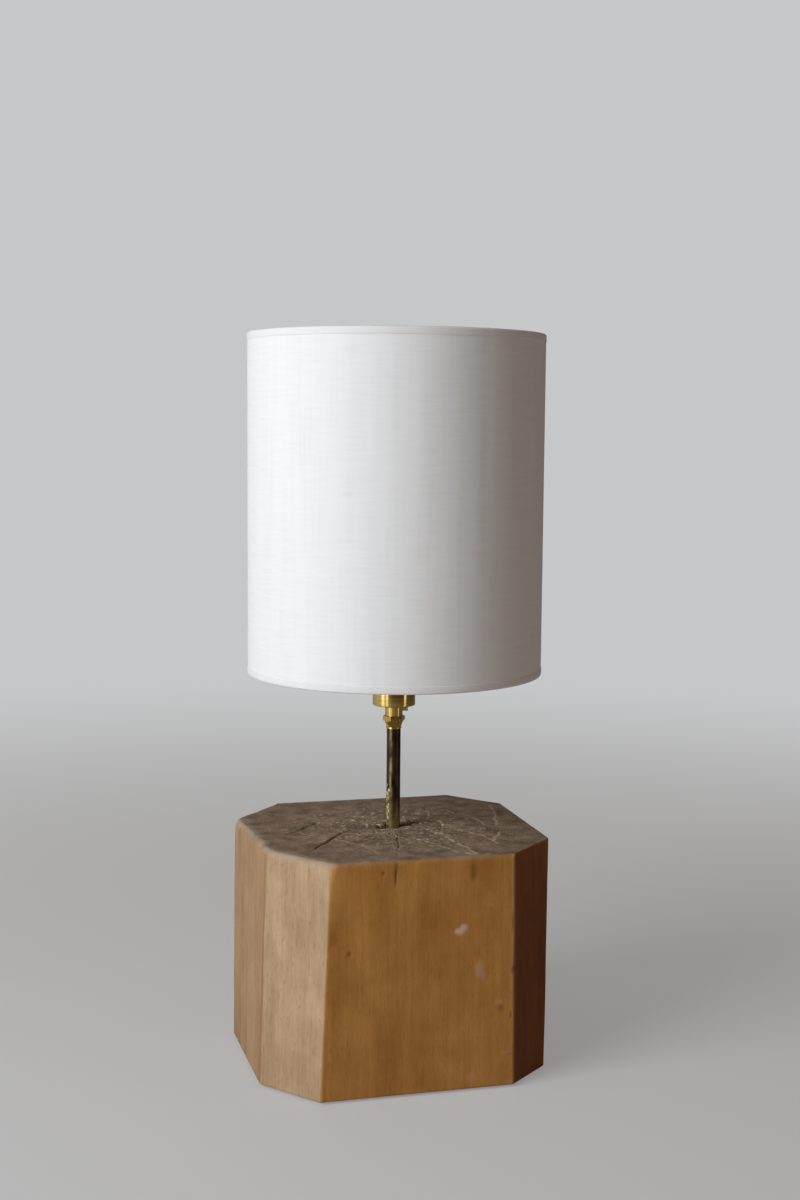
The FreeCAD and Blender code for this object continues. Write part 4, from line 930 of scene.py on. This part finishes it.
# (share of the way out, height): in under, round the soft edge, back over the top
FELT_ROWS = [(0, 0), (0.5, 0), (0.9, 0), (0.99, 0.05), (0.997, 0.3), (1, 0.8), (1, 1.3),
             (0.997, 1.75), (0.99, 2.0), (0.9, 2.0), (0.5, 2.0), (0, 2.0)]
felt_grid = np.stack([np.column_stack([felt_edge * out, np.full(len(felt_edge), level)])
                      for out, level in FELT_ROWS])
felt = grid_mesh("base_felt_pad", felt_grid, closed_rows=False)
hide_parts("base_felt")
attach(felt, "base")

# %% [markdown]
# ## The drum shade
# Plain white linen glued to a stiff film, its ends turned over the two ring wires and in. The
# turned bands stand a third of a millimetre proud and their edges aren't quite straight; at the
# back the cloth laps over itself. A cloth simulation would only find the same cylinder, so the
# cloth is turned in numbers: a closed path round each wire, up the outside and down the inside.

# %% The linen's path
CLOTH_FOOT, CLOTH_TOP = 332.25, 618.75
WALL_OUT, WALL_IN, BAND_OUT = 124.88, 124.42, 125.22
WIRE_LINE, WIRE_RISE = 122.15, 2.2
# how far the cloth's outer and inner surfaces pass from the middle of the ring wire
OVER_WIRE, UNDER_CLOTH = 2.2, 1.65
BAND_HEIGHT, LIP_HEIGHT = 6.5, 4.4
CLOTH_COLUMNS, CLOTH_STEP = 640, 1.6


def bend(start, corner, end, count=5):
    """Points of a soft curve that leaves a start, passes inside a corner and reaches an end."""
    share = np.linspace(0, 1, count)[:, None]
    start, corner, end = (np.array(p, float) for p in (start, corner, end))
    return (1 - share) ** 2 * start + 2 * share * (1 - share) * corner + share ** 2 * end


def loop(reach):
    """A quarter turn round the ring wire at this distance, from its inside to its underside."""
    turned = np.radians(np.linspace(180, 270, 7))
    return np.column_stack([WIRE_LINE + reach * np.cos(turned), WIRE_RISE + reach * np.sin(turned)])


# (radius, rise from the shade's end), from the lip inside the wire to the band's upper edge
outside = np.concatenate([
    [(WIRE_LINE - OVER_WIRE, LIP_HEIGHT)], loop(OVER_WIRE),
    bend((123.3, 0), (125.2, 0), (125.2, 1.9)),
    [(BAND_OUT, 3.2), (BAND_OUT, 4.8), (BAND_OUT, BAND_HEIGHT - 0.25),
     (BAND_OUT - 0.08, BAND_HEIGHT - 0.02), (WALL_OUT, BAND_HEIGHT + 0.08)]])
inside = np.concatenate([
    [(WALL_IN, BAND_HEIGHT), (WALL_IN, 1.2), (124.40, 0.58), (123.6, 0.55)],
    loop(UNDER_CLOTH)[::-1], [(WIRE_LINE - UNDER_CLOTH, LIP_HEIGHT)]])
wall_levels = np.arange(CLOTH_FOOT + BAND_HEIGHT + 1.2, CLOTH_TOP - BAND_HEIGHT - 1.0, CLOTH_STEP)
# the inside is smooth, so a few rows do
inner_levels = np.linspace(CLOTH_TOP - 20, CLOTH_FOOT + 20, 12)
cloth_path = np.concatenate([
    outside + (0, CLOTH_FOOT),
    np.column_stack([np.full(len(wall_levels), WALL_OUT), wall_levels]),
    outside[::-1] * (1, -1) + (0, CLOTH_TOP),
    inside[::-1] * (1, -1) + (0, CLOTH_TOP),
    np.column_stack([np.full(len(inner_levels), WALL_IN), inner_levels]),
    inside + (0, CLOTH_FOOT)])
outer_rows = len(outside) * 2 + len(wall_levels)
print("path round the cloth:", len(cloth_path), "points")

# %% [markdown]
# The unevenness: the drum is out of round by a quarter of a millimetre, thick weft threads
# (slubs) make short level ridges, the warp makes faint upright bands, and the lap at the back is
# a step one cloth high. It all pushes outwards, so the stiff film stays inside.

# %% Turn the linen
# the lap at the back: where, how wide and how sloped in radians, and how high in mm
LAP_AT, LAP_WIDE, LAP_SLOPE, LAP_HIGH = math.pi / 2, 13 / 125, 0.02, 0.3
# cloth further out than this is wall or band, not lip
WALL_FROM = 124.3
# heights of the unevenness in mm: the drum, thick threads, upright bands
OUT_OF_ROUND, SLUB_HIGH, BAND_HIGH = 0.12, 0.10, 0.05
# how far the bands' edges, the lips' cut edges and the drum's two ends wander, in mm
EDGE_WANDER, LIP_WANDER, END_WANDER = 0.45, 0.5, 0.12

angle = np.arange(CLOTH_COLUMNS) * 2 * math.pi / CLOTH_COLUMNS
level = np.repeat(cloth_path[:, 1:], CLOTH_COLUMNS, axis=1)
turned = np.repeat(angle[None, :], len(cloth_path), axis=0)
radius = np.repeat(cloth_path[:, :1], CLOTH_COLUMNS, axis=1)
where = np.stack([radius * np.cos(turned), radius * np.sin(turned), level], -1).reshape(-1, 3)
is_outer = np.arange(len(cloth_path))[:, None] < outer_rows


def uneven(size, seed, octaves=1):
    """Noise over the cloth's grid."""
    return noise(where, size, seed, octaves).reshape(level.shape)


on_wall = (radius > WALL_FROM).astype(float)
push = OUT_OF_ROUND * (1 + uneven((60, 60, 110), seed=81)) * on_wall
slubs = smoothstep(0.1, 0.8, uneven((20, 20, 2.6), seed=82)) * SLUB_HIGH
bands = BAND_HIGH * (1 + uneven((7, 7, 240), seed=83))
lap_gap = turned - LAP_AT
lap = smoothstep(-LAP_WIDE, -LAP_WIDE + LAP_SLOPE, lap_gap) * (lap_gap < 0) * LAP_HIGH
radius = radius + push + is_outer * on_wall * (slubs + bands + lap)
from_end = np.minimum(level - CLOTH_FOOT, CLOTH_TOP - level)
upward = np.where(level < (CLOTH_FOOT + CLOTH_TOP) / 2, 1, -1)
by_edge = np.exp(-((from_end - BAND_HEIGHT) / 1.6) ** 2) * is_outer * on_wall
by_lip = (radius < WIRE_LINE - 1) * smoothstep(2.0, LIP_HEIGHT, from_end)
level = level + upward * (
    by_edge * EDGE_WANDER * uneven((18, 18, 400), seed=84, octaves=2)
    + by_lip * LIP_WANDER * uneven((9, 9, 400), seed=85, octaves=2)
    + (from_end < 1) * END_WANDER * uneven((40, 40, 400), seed=86))
cloth_grid = np.stack([radius * np.cos(turned), radius * np.sin(turned), level], -1)
drum = grid_mesh("shade_linen_drum", cloth_grid, closed_rows=True, smooth_angle=50)
set_mask(drum.data, "hem_shade", np.clip((BAND_HEIGHT + 0.3 - from_end) / 0.6, 0, 1))
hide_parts("shade_fabric")
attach(drum, "shade")
print("drum:", round(float(radius.max()) * 2, 1), "mm across")

# %% [markdown]
# Bleached linen: dry and matt, with a faint bloom of loose fibre ends. A real thread is about
# half a millimetre, too fine for the picture, so the plain weave is drawn 2.3 mm apart and very
# faint; the slubs and upright bands have their real size of a few millimetres.

# %% Material: bleached linen
THREAD = 2.3
# threads that differ in tone: (mm across, mm upright, share); wefts lie level, warps stand
THREAD_GROUPS = [(24, 1.6, 0.34), (2.6, 120, 0.26), (14, 200, 0.28)]
WEAVE_SHARE, WEAVE_RELIEF = 0.07, 0.4
linen, tree, shader = new_material("bleached_plain_linen", Roughness=0.88, Sheen_Weight=0.10,
                                   Sheen_Roughness=0.5, Specular_IOR_Level=0.2)
place = add(tree, "TexCoord", out=3)
axes = add(tree, "SeparateXYZ", {0: place}, out=None)
around = add(tree, "Math", {0: axes.outputs[1], 1: axes.outputs[0]}, operation="ARCTAN2")
threads_round = float(round(2 * math.pi * WALL_OUT / THREAD))
weave = 1.0
for direction, count in ((around, threads_round), (axes.outputs[2], 2 * math.pi / (THREAD * MM))):
    phase = add(tree, "Math", {0: direction, 1: count}, operation="MULTIPLY")
    wave = add(tree, "Math", {0: phase}, operation="SINE")
    weave = add(tree, "Math", {0: wave, 1: weave}, operation="MULTIPLY")
tone = add(tree, "Math", {0: weave, 1: WEAVE_SHARE, 2: 0.5}, operation="MULTIPLY_ADD")
for across, upright, share in THREAD_GROUPS:
    scaled = add(tree, "Mapping", {0: place, 3: sized(across, across, upright)})
    threads = add(tree, "TexNoise", {"Vector": scaled, "Scale": 1.0, "Detail": 2.0})
    centred = add(tree, "Math", {0: threads, 1: 0.5}, operation="SUBTRACT")
    tone = add(tree, "Math", {0: centred, 1: share, 2: tone}, operation="MULTIPLY_ADD")
colour = add(tree, "ValToRGB", {0: tone}, stops=[(0.2, "DEDEDD"), (0.5, "EBEBEA"), (0.8, "F1F0EE")])
# the turned bands at both ends are painted a little darker and warmer: painted shade, where the
# folded cloth and the wire keep light from passing through and the underside is shaded
hem_shade = add(tree, "Attribute", out=2, attribute_name="hem_shade")
colour = layered(tree, colour, [(hem_shade, 0.6, "E4E1DF")])
tree.links.new(colour, shader.inputs["Base Color"])
bump = add(tree, "Bump", {"Height": tone, "Strength": 0.25, "Distance": WEAVE_RELIEF * MM})
tree.links.new(bump, shader.inputs["Normal"])
drum.data.materials.append(linen)

# %% [markdown]
# ## Turned brass
# The lampholder's cap, the ferrule with its hexagon, and the two shade rings come off a lathe, so
# each is a profile carried round the axis; corners that a file or a polishing wheel has touched
# are a little round. The hexagon is the same turning with flats, cut off by a cone at its ends.

# %% Lathe helpers
def soften(corners):
    """Round the corners of a closed profile; each is (radius, height, rounding) in mm."""
    points = []
    for number, (radius, height, rounding) in enumerate(corners):
        here = np.array((radius, height), float)
        if rounding:
            ways = [np.array(corners[(number + step) % len(corners)][:2]) - here
                    for step in (-1, 1)]
            start, end = (here + way / np.linalg.norm(way) * rounding for way in ways)
            points.extend(bend(start, here, end))
        else:
            points.append(here)
    return np.array(points)


def lathe(name, profile, columns=144, shaped=None, smooth_angle=32):
    """Turn a closed (radius, height) profile; shaped may change the radii by angle and height."""
    angle, height = np.meshgrid(np.arange(columns) * 2 * math.pi / columns, profile[:, 1])
    radius = np.repeat(profile[:, :1], columns, axis=1)
    if shaped:
        radius = shaped(radius, angle, height)
    grid = np.stack([radius * np.cos(angle), radius * np.sin(angle), height], -1)
    return grid_mesh(name, grid, closed_rows=True, smooth_angle=smooth_angle)


def stand_for(piece, node, body="base"):
    """Let a piece take a CAD node's place and its body."""
    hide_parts(node)
    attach(piece, body)


# %% [markdown]
# The cap is a cup on a narrow neck, bored for the rod. One closed profile, inside and out, makes
# all of it but the screw's hole at its right, which no lathe could make, so a cutter drills it.

# %% The cap
CAP_FOOT = 294.4
ROD_THREAD = 5.05
NECK, NECK_TALL = 7.5, 9.4
CUP_OUT, CUP_IN, CUP_TALL = 18.25, 17.05, 27.4
SEAT_IN, SEAT_LEVEL, CUP_FLOOR = 15.55, 22.6, 10.6
SCREW_LEVEL, SCREW_TURN, SCREW_HOLE = 300.6, math.radians(-15), 2.15
SCREW_CUT_AT, SCREW_CUT_LENGTH = 10, 12.0

cap_profile = soften([
    (ROD_THREAD, 0, 0.2), (NECK, 0, 0.3), (NECK, NECK_TALL, 0.35), (CUP_OUT, NECK_TALL, 1.1),
    (CUP_OUT, CUP_TALL, 0.4), (CUP_IN, CUP_TALL, 0.2), (CUP_IN, SEAT_LEVEL, 0),
    (SEAT_IN, SEAT_LEVEL, 0), (SEAT_IN, CUP_FLOOR, 0.3), (ROD_THREAD, CUP_FLOOR, 0)])
cap = lathe("holder_cap_turned", cap_profile + (0, CAP_FOOT), columns=160)
screw_way = (math.cos(SCREW_TURN), math.sin(SCREW_TURN), 0)
screw_middle = (SCREW_CUT_AT * screw_way[0], SCREW_CUT_AT * screw_way[1], SCREW_LEVEL)
cut_round_hole(cap, screw_middle, screw_way, SCREW_HOLE, SCREW_CUT_LENGTH)
stand_for(cap, "holder_cap")

# %% [markdown]
# The ferrule is a collar, a cone and a hexagon 17 mm across its flats. It is turned first and its
# flats are cut second, as on the real one, so the hexagon's corners keep the cone's round ends.

# %% The ferrule
FERRULE_FOOT = 283.3
HALF_FLATS, HEXAGON_FROM, HEXAGON_OUTSIDE = 8.5, 6.6, 8


def hexagonal(radius, angle, height):
    """Flats on the part of the ferrule above its cone, inside the cone that trims their ends."""
    from_corner = np.mod(angle, math.pi / 3) - math.pi / 6
    flats = HALF_FLATS / np.cos(from_corner)
    on_hexagon = (height > FERRULE_FOOT + HEXAGON_FROM) & (radius > HEXAGON_OUTSIDE)
    return np.where(on_hexagon, np.minimum(radius, flats), radius)


ferrule_profile = soften([
    (ROD_THREAD, 0, 0), (6.5, 0, 0.2), (6.7, 0.6, 0.25), (6.5, 1.2, 0.15), (6.2, 1.25, 0),
    (6.9, 3.4, 0), (8.1, 6.7, 0), (8.45, 6.72, 0), (8.9, 6.9, 0), (9.82, 7.25, 0), (9.82, 9.0, 0),
    (9.82, 10.6, 0), (9.2, 10.9, 0), (8.4, 11.1, 0), (ROD_THREAD, 11.1, 0)])
ferrule = lathe("hex_ferrule_turned", ferrule_profile + (0, FERRULE_FOOT), shaped=hexagonal,
                smooth_angle=22)
stand_for(ferrule, "hex_ferrule")

# %% [markdown]
# The two shade rings are alike: short threaded rings with a fluted rim. The lower one stays on the
# holder, and the upper one turns to clamp the shade. The flutes are a cosine pressed into the rim,
# six columns to a flute; cutting them with Booleans would take a cutter for each.

# %% The shade rings
RING_OUT, RING_IN, RING_TALL = 20.0, 14.4, 4.0
FLUTES, FLUTE_DEPTH = 56, 0.45


def fluted(radius, angle, height):
    """Shallow flutes round the rim, for the fingers to grip."""
    rim = smoothstep(RING_OUT - 0.6, RING_OUT - 0.1, radius)
    return radius - rim * FLUTE_DEPTH * (0.5 + 0.5 * np.cos(angle * FLUTES)) ** 2


ring_profile = soften([(RING_IN, 0, 0.3), (RING_OUT, 0, 0.5), (RING_OUT, RING_TALL, 0.5),
                       (RING_IN, RING_TALL, 0.3)])
shade_rings = []
for name, foot, body in (("shade_ring_lower", 337.7, "base"),
                         ("shade_ring_upper", 343.8, "clamp_ring")):
    shade_ring = lathe(name + "_fluted", ring_profile + (0, foot), columns=FLUTES * 6,
                       shaped=fluted)
    stand_for(shade_ring, name, body)
    shade_rings.append(shade_ring)

# %% [markdown]
# The tube has been handled for years: dark brown patina all over, and low on its left a string of
# bright lumps where old lacquer has run and rubbed through. Up its front left, where the key light
# falls, a bright streak is painted highlight as well as wear. The lumps and a few dents are in the
# mesh; where it is bright, from wear and from painted highlight, goes onto the points as a mask.

# %% The tube
TUBE_FOOT, TUBE_TOP, TUBE_OUT, TUBE_BORE = 191.2, 283.3, 6.0, 5.2
TUBE_COLUMNS, TUBE_STEP = 128, 0.6
WORN_LEFT, HIGHLIGHT_STREAK_AT = math.radians(-172), math.radians(-125)
# (height, compass angle, size, thickness) of the lumps, in mm and degrees
LUMPS = [(226, -172, 2.3, 0.42), (222.5, -158, 1.4, 0.26), (220.0, -176, 1.7, 0.45),
         (213.5, -170, 2.3, 0.46), (211.0, -152, 1.3, 0.26), (208.5, -174, 2.0, 0.5),
         (205.0, -162, 1.7, 0.36), (202.0, -174, 1.4, 0.28), (217.0, -148, 1.0, 0.18),
         (229.5, -146, 1.2, 0.15), (199.5, -158, 1.2, 0.18), (234.0, -170, 1.0, 0.18)]
LUMP_SQUASH, DENT_DEPTH = 0.85, 0.05
STREAK_WIDE, STREAK_BRIGHT, LOW_BRIGHT, RUBBED_BRIGHT = 0.20, 0.46, 0.45, 0.8


def turn_from(compass):
    """How far round from a compass angle each point of the tube is, from -pi to pi."""
    return np.mod(angle - compass + math.pi, 2 * math.pi) - math.pi


levels = np.arange(TUBE_FOOT + 0.6, TUBE_TOP - 0.5, TUBE_STEP)
tube_profile = np.concatenate([
    [(TUBE_BORE, TUBE_FOOT), (TUBE_OUT - 0.25, TUBE_FOOT), (TUBE_OUT, TUBE_FOOT + 0.3)],
    np.column_stack([np.full(len(levels), TUBE_OUT), levels]),
    [(TUBE_OUT, TUBE_TOP - 0.3), (TUBE_OUT - 0.2, TUBE_TOP), (TUBE_BORE, TUBE_TOP)]])
angle, height = np.meshgrid(np.arange(TUBE_COLUMNS) * 2 * math.pi / TUBE_COLUMNS,
                            tube_profile[:, 1])
radius = np.repeat(tube_profile[:, :1], TUBE_COLUMNS, axis=1)
outer = radius > TUBE_OUT - 0.1
where = np.stack([radius * np.cos(angle), radius * np.sin(angle), height], -1).reshape(-1, 3)
rough = noise(where, (4, 4, 6), seed=91, octaves=3).reshape(radius.shape)
lump = np.zeros(radius.shape)
bright = np.zeros(radius.shape)
for lump_level, compass_degrees, size, thick in LUMPS:
    across = TUBE_OUT * turn_from(math.radians(compass_degrees))
    gap = np.hypot(across, (height - lump_level) * LUMP_SQUASH) / size
    lump = np.maximum(lump, thick * np.clip(1 - gap ** 2, 0, 1) ** 0.7)
    bright = np.maximum(bright, smoothstep(1.5, 0.6, gap + 0.3 * rough))
# the streak up the front left, where the key light falls: painted highlight, partly wear
streak = np.exp(-((turn_from(HIGHLIGHT_STREAK_AT) + 0.05 * rough) / STREAK_WIDE) ** 2)
streak *= smoothstep(-0.4, 0.6, rough) * STREAK_BRIGHT
low = smoothstep(226, 199, height + 6 * rough) * LOW_BRIGHT
rubbed = np.exp(-turn_from(WORN_LEFT) ** 2 / 0.5) * smoothstep(234, 224, height)
rubbed *= smoothstep(-0.35, 0.35, rough) * RUBBED_BRIGHT
radius = radius + outer * (lump + DENT_DEPTH * np.minimum(rough, 0.0))
grid = np.stack([radius * np.cos(angle), radius * np.sin(angle), height], -1)
tube = grid_mesh("sleeve_tube_worn", grid, closed_rows=True, smooth_angle=40)
set_mask(tube.data, "worn_and_highlight", np.clip(np.maximum.reduce([bright, streak, low, rubbed]), 0, 1))
stand_for(tube, "sleeve_tube")

# %% [markdown]
# Each sprung contact in the holder stands on a coil of drawn steel wire with four turns. When the
# bulb is pressed in, the contact sinks 3 mm and squeezes its spring. The wire is a circle carried
# along a helix.

# %% The contact springs
WIRE_DIA, COIL_TURNS, ROWS_PER_TURN, WIRE_SIDES = 0.5, 4, 48, 12


def coil_spring(name, centre, radius, foot, top):
    """A wire carried along a helix, in mm, with both ends closed."""
    share = np.linspace(0, 1, COIL_TURNS * ROWS_PER_TURN + 1)
    angle = 2 * math.pi * COIL_TURNS * share
    outward = np.column_stack([np.cos(angle), np.sin(angle), np.zeros(len(share))])
    line = outward * radius + (centre[0], centre[1], 0)
    line[:, 2] = foot + (top - foot) * share
    along = np.gradient(line, axis=0)
    upward = np.cross(outward, along / np.linalg.norm(along, axis=1)[:, None])
    turn = np.linspace(0, 2 * math.pi, WIRE_SIDES, endpoint=False)[None, :, None]
    ring = np.cos(turn) * outward[:, None] + np.sin(turn) * upward[:, None]
    grid = line[:, None] + ring * WIRE_DIA / 2
    ends = [np.repeat(line[end], WIRE_SIDES).reshape(3, WIRE_SIDES).T[None] for end in (0, -1)]
    return grid_mesh(name, np.concatenate([ends[0], grid, ends[1]]), closed_rows=False)


coils = []
for side in ("front", "back"):
    node = "plunger_spring_" + side
    low, high = (np.array(corner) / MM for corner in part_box(node))
    coil = coil_spring(node + "_coil", (low + high) / 2, (high[0] - low[0] - WIRE_DIA) / 2,
                       low[2] + WIRE_DIA / 2, high[2] - WIRE_DIA / 2)
    stand_for(coil, node)
    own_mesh(coil)
    coils.append(coil)

# %% [markdown]
# ## Finishes for the small parts
# No real surface has quite one colour or gloss. One helper makes a finish in which both drift
# together between two values, over patches whose shape tells how the surface was made: level
# bands on turned work, clouds on a casting or a plating. A ramp could be painted for each piece
# instead, but noise in object space needs no unwrapping.

# %% A finish that drifts between two colours
# noise seldom leaves this range, so the two colours and the two roughnesses sit at its ends
DRIFT_LOW, DRIFT_HIGH = 0.3, 0.7


def drifting(name, low, high, patch, rough, relief=0.0, detail=2.0, **constants):
    """A finish whose colour and roughness drift over patches of a real size in mm (X, Y, Z)."""
    made, tree, shader = new_material(name, **constants)
    place = add(tree, "TexCoord", out=3)
    scaled = add(tree, "Mapping", {0: place, 3: sized(*patch)})
    drift = add(tree, "TexNoise", {"Vector": scaled, "Scale": 1.0, "Detail": detail})
    colour = add(tree, "ValToRGB", {0: drift}, stops=[(DRIFT_LOW, low), (DRIFT_HIGH, high)])
    gloss = add(tree, "MapRange", {0: drift, 1: DRIFT_LOW, 2: DRIFT_HIGH, 3: rough[0],
                                   4: rough[1]})
    tree.links.new(colour, shader.inputs["Base Color"])
    tree.links.new(gloss, shader.inputs["Roughness"])
    if relief:
        bump = add(tree, "Bump", {"Height": drift, "Strength": 0.5, "Distance": relief * MM})
        tree.links.new(bump, shader.inputs["Normal"])
    return made


def paint(material, *pieces):
    """Put a material on pieces, given as objects or as the names of CAD pieces."""
    for piece in pieces:
        piece = nodes[piece] if isinstance(piece, str) else piece
        if piece.material_slots:
            piece.material_slots[0].material = material
        else:
            piece.data.materials.append(material)


print("finish helpers ready")

# %% [markdown]
# Polished brass is a mirror, so the eye gets upright bands of near white, gold and brown; fine
# turning lines, drawn coarser than the real 0.1 mm, soften them.

# %% Material: polished turned brass
polished = drifting("polished_turned_brass", "CFAC58", "ECD388", (30, 30, 0.9), (0.09, 0.15),
                    relief=0.006, Metallic=1.0)
paint(polished, cap, ferrule)

# %% [markdown]
# The tube is the same metal under dark brown oxide. Its patina drifts from near black to brown
# over patches of a few millimetres, longer up the tube than across it, and bare yellow metal
# shows through wherever the mask says worn, and along the painted highlight streak.

# %% Material: patinated brass tube
patina = drifting("brown_patinated_brass", "2B1C16", "594536", (5, 5, 14), (0.26, 0.40),
                  relief=0.06, detail=4.0, Metallic=0.9)
tree = patina.node_tree
base_colour = tree.nodes["Principled BSDF"].inputs["Base Color"]
worn_and_highlight = add(tree, "Attribute", out=2, attribute_name="worn_and_highlight")
colour = layered(tree, base_colour.links[0].from_socket, [(worn_and_highlight, 1.0, "DCC690")])
tree.links.new(colour, base_colour)
paint(patina, tube)

# %% [markdown]
# The other metals are small stock parts. Dull turned brass: softer mirror, a brown cast from age.
# Turned steel and bright zinc: cool greys, zinc a little bluer and cloudy. Spring wire: dark drawn
# steel. The bulb's cap is drawn aluminium, its contacts are solder, its filament is tungsten.

# %% Materials: small metal parts
# name, two colours, patch in mm, roughness from and to, relief in mm, pieces
SMALL_METALS = [
    ("dull_turned_brass", "9C7F4A", "BFA162", (9, 9, 0.9), (0.26, 0.40), 0.03,
     ["base_nut", "earth_terminal", "terminal_post_front", "terminal_post_back", "plunger_front",
      "plunger_back", "holder_skirt"] + shade_rings),
    ("turned_steel", "A9A6A2", "C9C7C4", (3, 3, 0.6), (0.22, 0.36), 0.02,
     ["earth_screw", "terminal_screw_front", "terminal_screw_back"]),
    ("bright_zinc_plate", "C4C6C8", "E2E3E4", (5, 5, 5), (0.34, 0.46), 0,
     ["base_washer", "threaded_rod"]),
    ("turned_steel_yellowed_by_wax", "CDBF9F", "E6DAC0", (2, 2, 2), (0.34, 0.46), 0,
     ["cap_lock_screw"]),
    ("drawn_spring_steel", "5E6064", "84868A", (2, 2, 2), (0.30, 0.42), 0,
     ["base_tooth_washer"] + coils),
    ("drawn_aluminium_cap", "BDBBB6", "D6D4D0", (6, 6, 0.8), (0.26, 0.38), 0.02, ["bulb_cap"]),
    ("soft_solder", "8E8F90", "B5B6B7", (1.2, 1.2, 1.2), (0.34, 0.55), 0.05, ["bulb_contacts"]),
    ("drawn_tungsten", "4E5054", "6E7074", (1, 1, 1), (0.35, 0.5), 0,
     ["bulb_filament", "bulb_lead_wires"]),
]
for name, low, high, patch, rough, relief, pieces in SMALL_METALS:
    paint(drifting(name, low, high, patch, rough, relief, Metallic=1.0), *pieces)

# %% [markdown]
# The rest isn't metal. Dyed wool felt is fuzzy and swallows light. White epoxy powder on the wire
# frame has a soft gloss and a fine orange-peel. Shade film is a milky sheet. Black phenolic is
# glossy with a faint brown cloud; nylon is satin. Pearl glass scatters light, its inner stem is
# clear, and the insulator under the bulb is black glass.

# %% Materials: everything else
wool = drifting("dyed_wool_felt", "23291F", "343B30", (1.5, 1.5, 1.5), (0.9, 1.0), relief=0.25,
                detail=4.0, Sheen_Weight=0.3, Sheen_Roughness=0.6, Specular_IOR_Level=0.2)
powder = drifting("white_powder_coat", "E3E1DC", "F0EEEA", (1.4, 1.4, 1.4), (0.30, 0.38),
                  relief=0.03, Coat_Weight=0.2)
film = drifting("milky_shade_film", "E9E8E4", "F3F2EF", (40, 40, 40), (0.40, 0.50))
phenolic = drifting("black_phenolic", "17120F", "2A201B", (3, 3, 3), (0.18, 0.28), IOR=1.6)
nylon = drifting("black_nylon", "1B1B1C", "28282A", (2, 2, 2), (0.42, 0.55), relief=0.02)
pearl = drifting("pearl_glass", "ECEAE4", "F6F5F1", (9, 9, 9), (0.45, 0.6), IOR=1.5,
                 Transmission_Weight=0.55)
clear = drifting("clear_lamp_glass", "F4F6F6", "FDFEFE", (9, 9, 9), (0.02, 0.05), IOR=1.5,
                 Transmission_Weight=1.0)
black_glass = drifting("black_insulator_glass", "0E0E12", "1C1C22", (4, 4, 4), (0.06, 0.14),
                       IOR=1.52)
paint(wool, felt)
paint(powder, "shade_fitter_ring", "shade_spider_arms", "shade_bottom_wire", "shade_top_wire")
paint(film, "shade_liner")
paint(phenolic, "holder_insert")
paint(nylon, "flex_entry_bush")
paint(pearl, "bulb_glass")
paint(clear, "bulb_stem")
paint(black_glass, "bulb_insulator")
print("materials:", len([m for m in bpy.data.materials if m.users]))
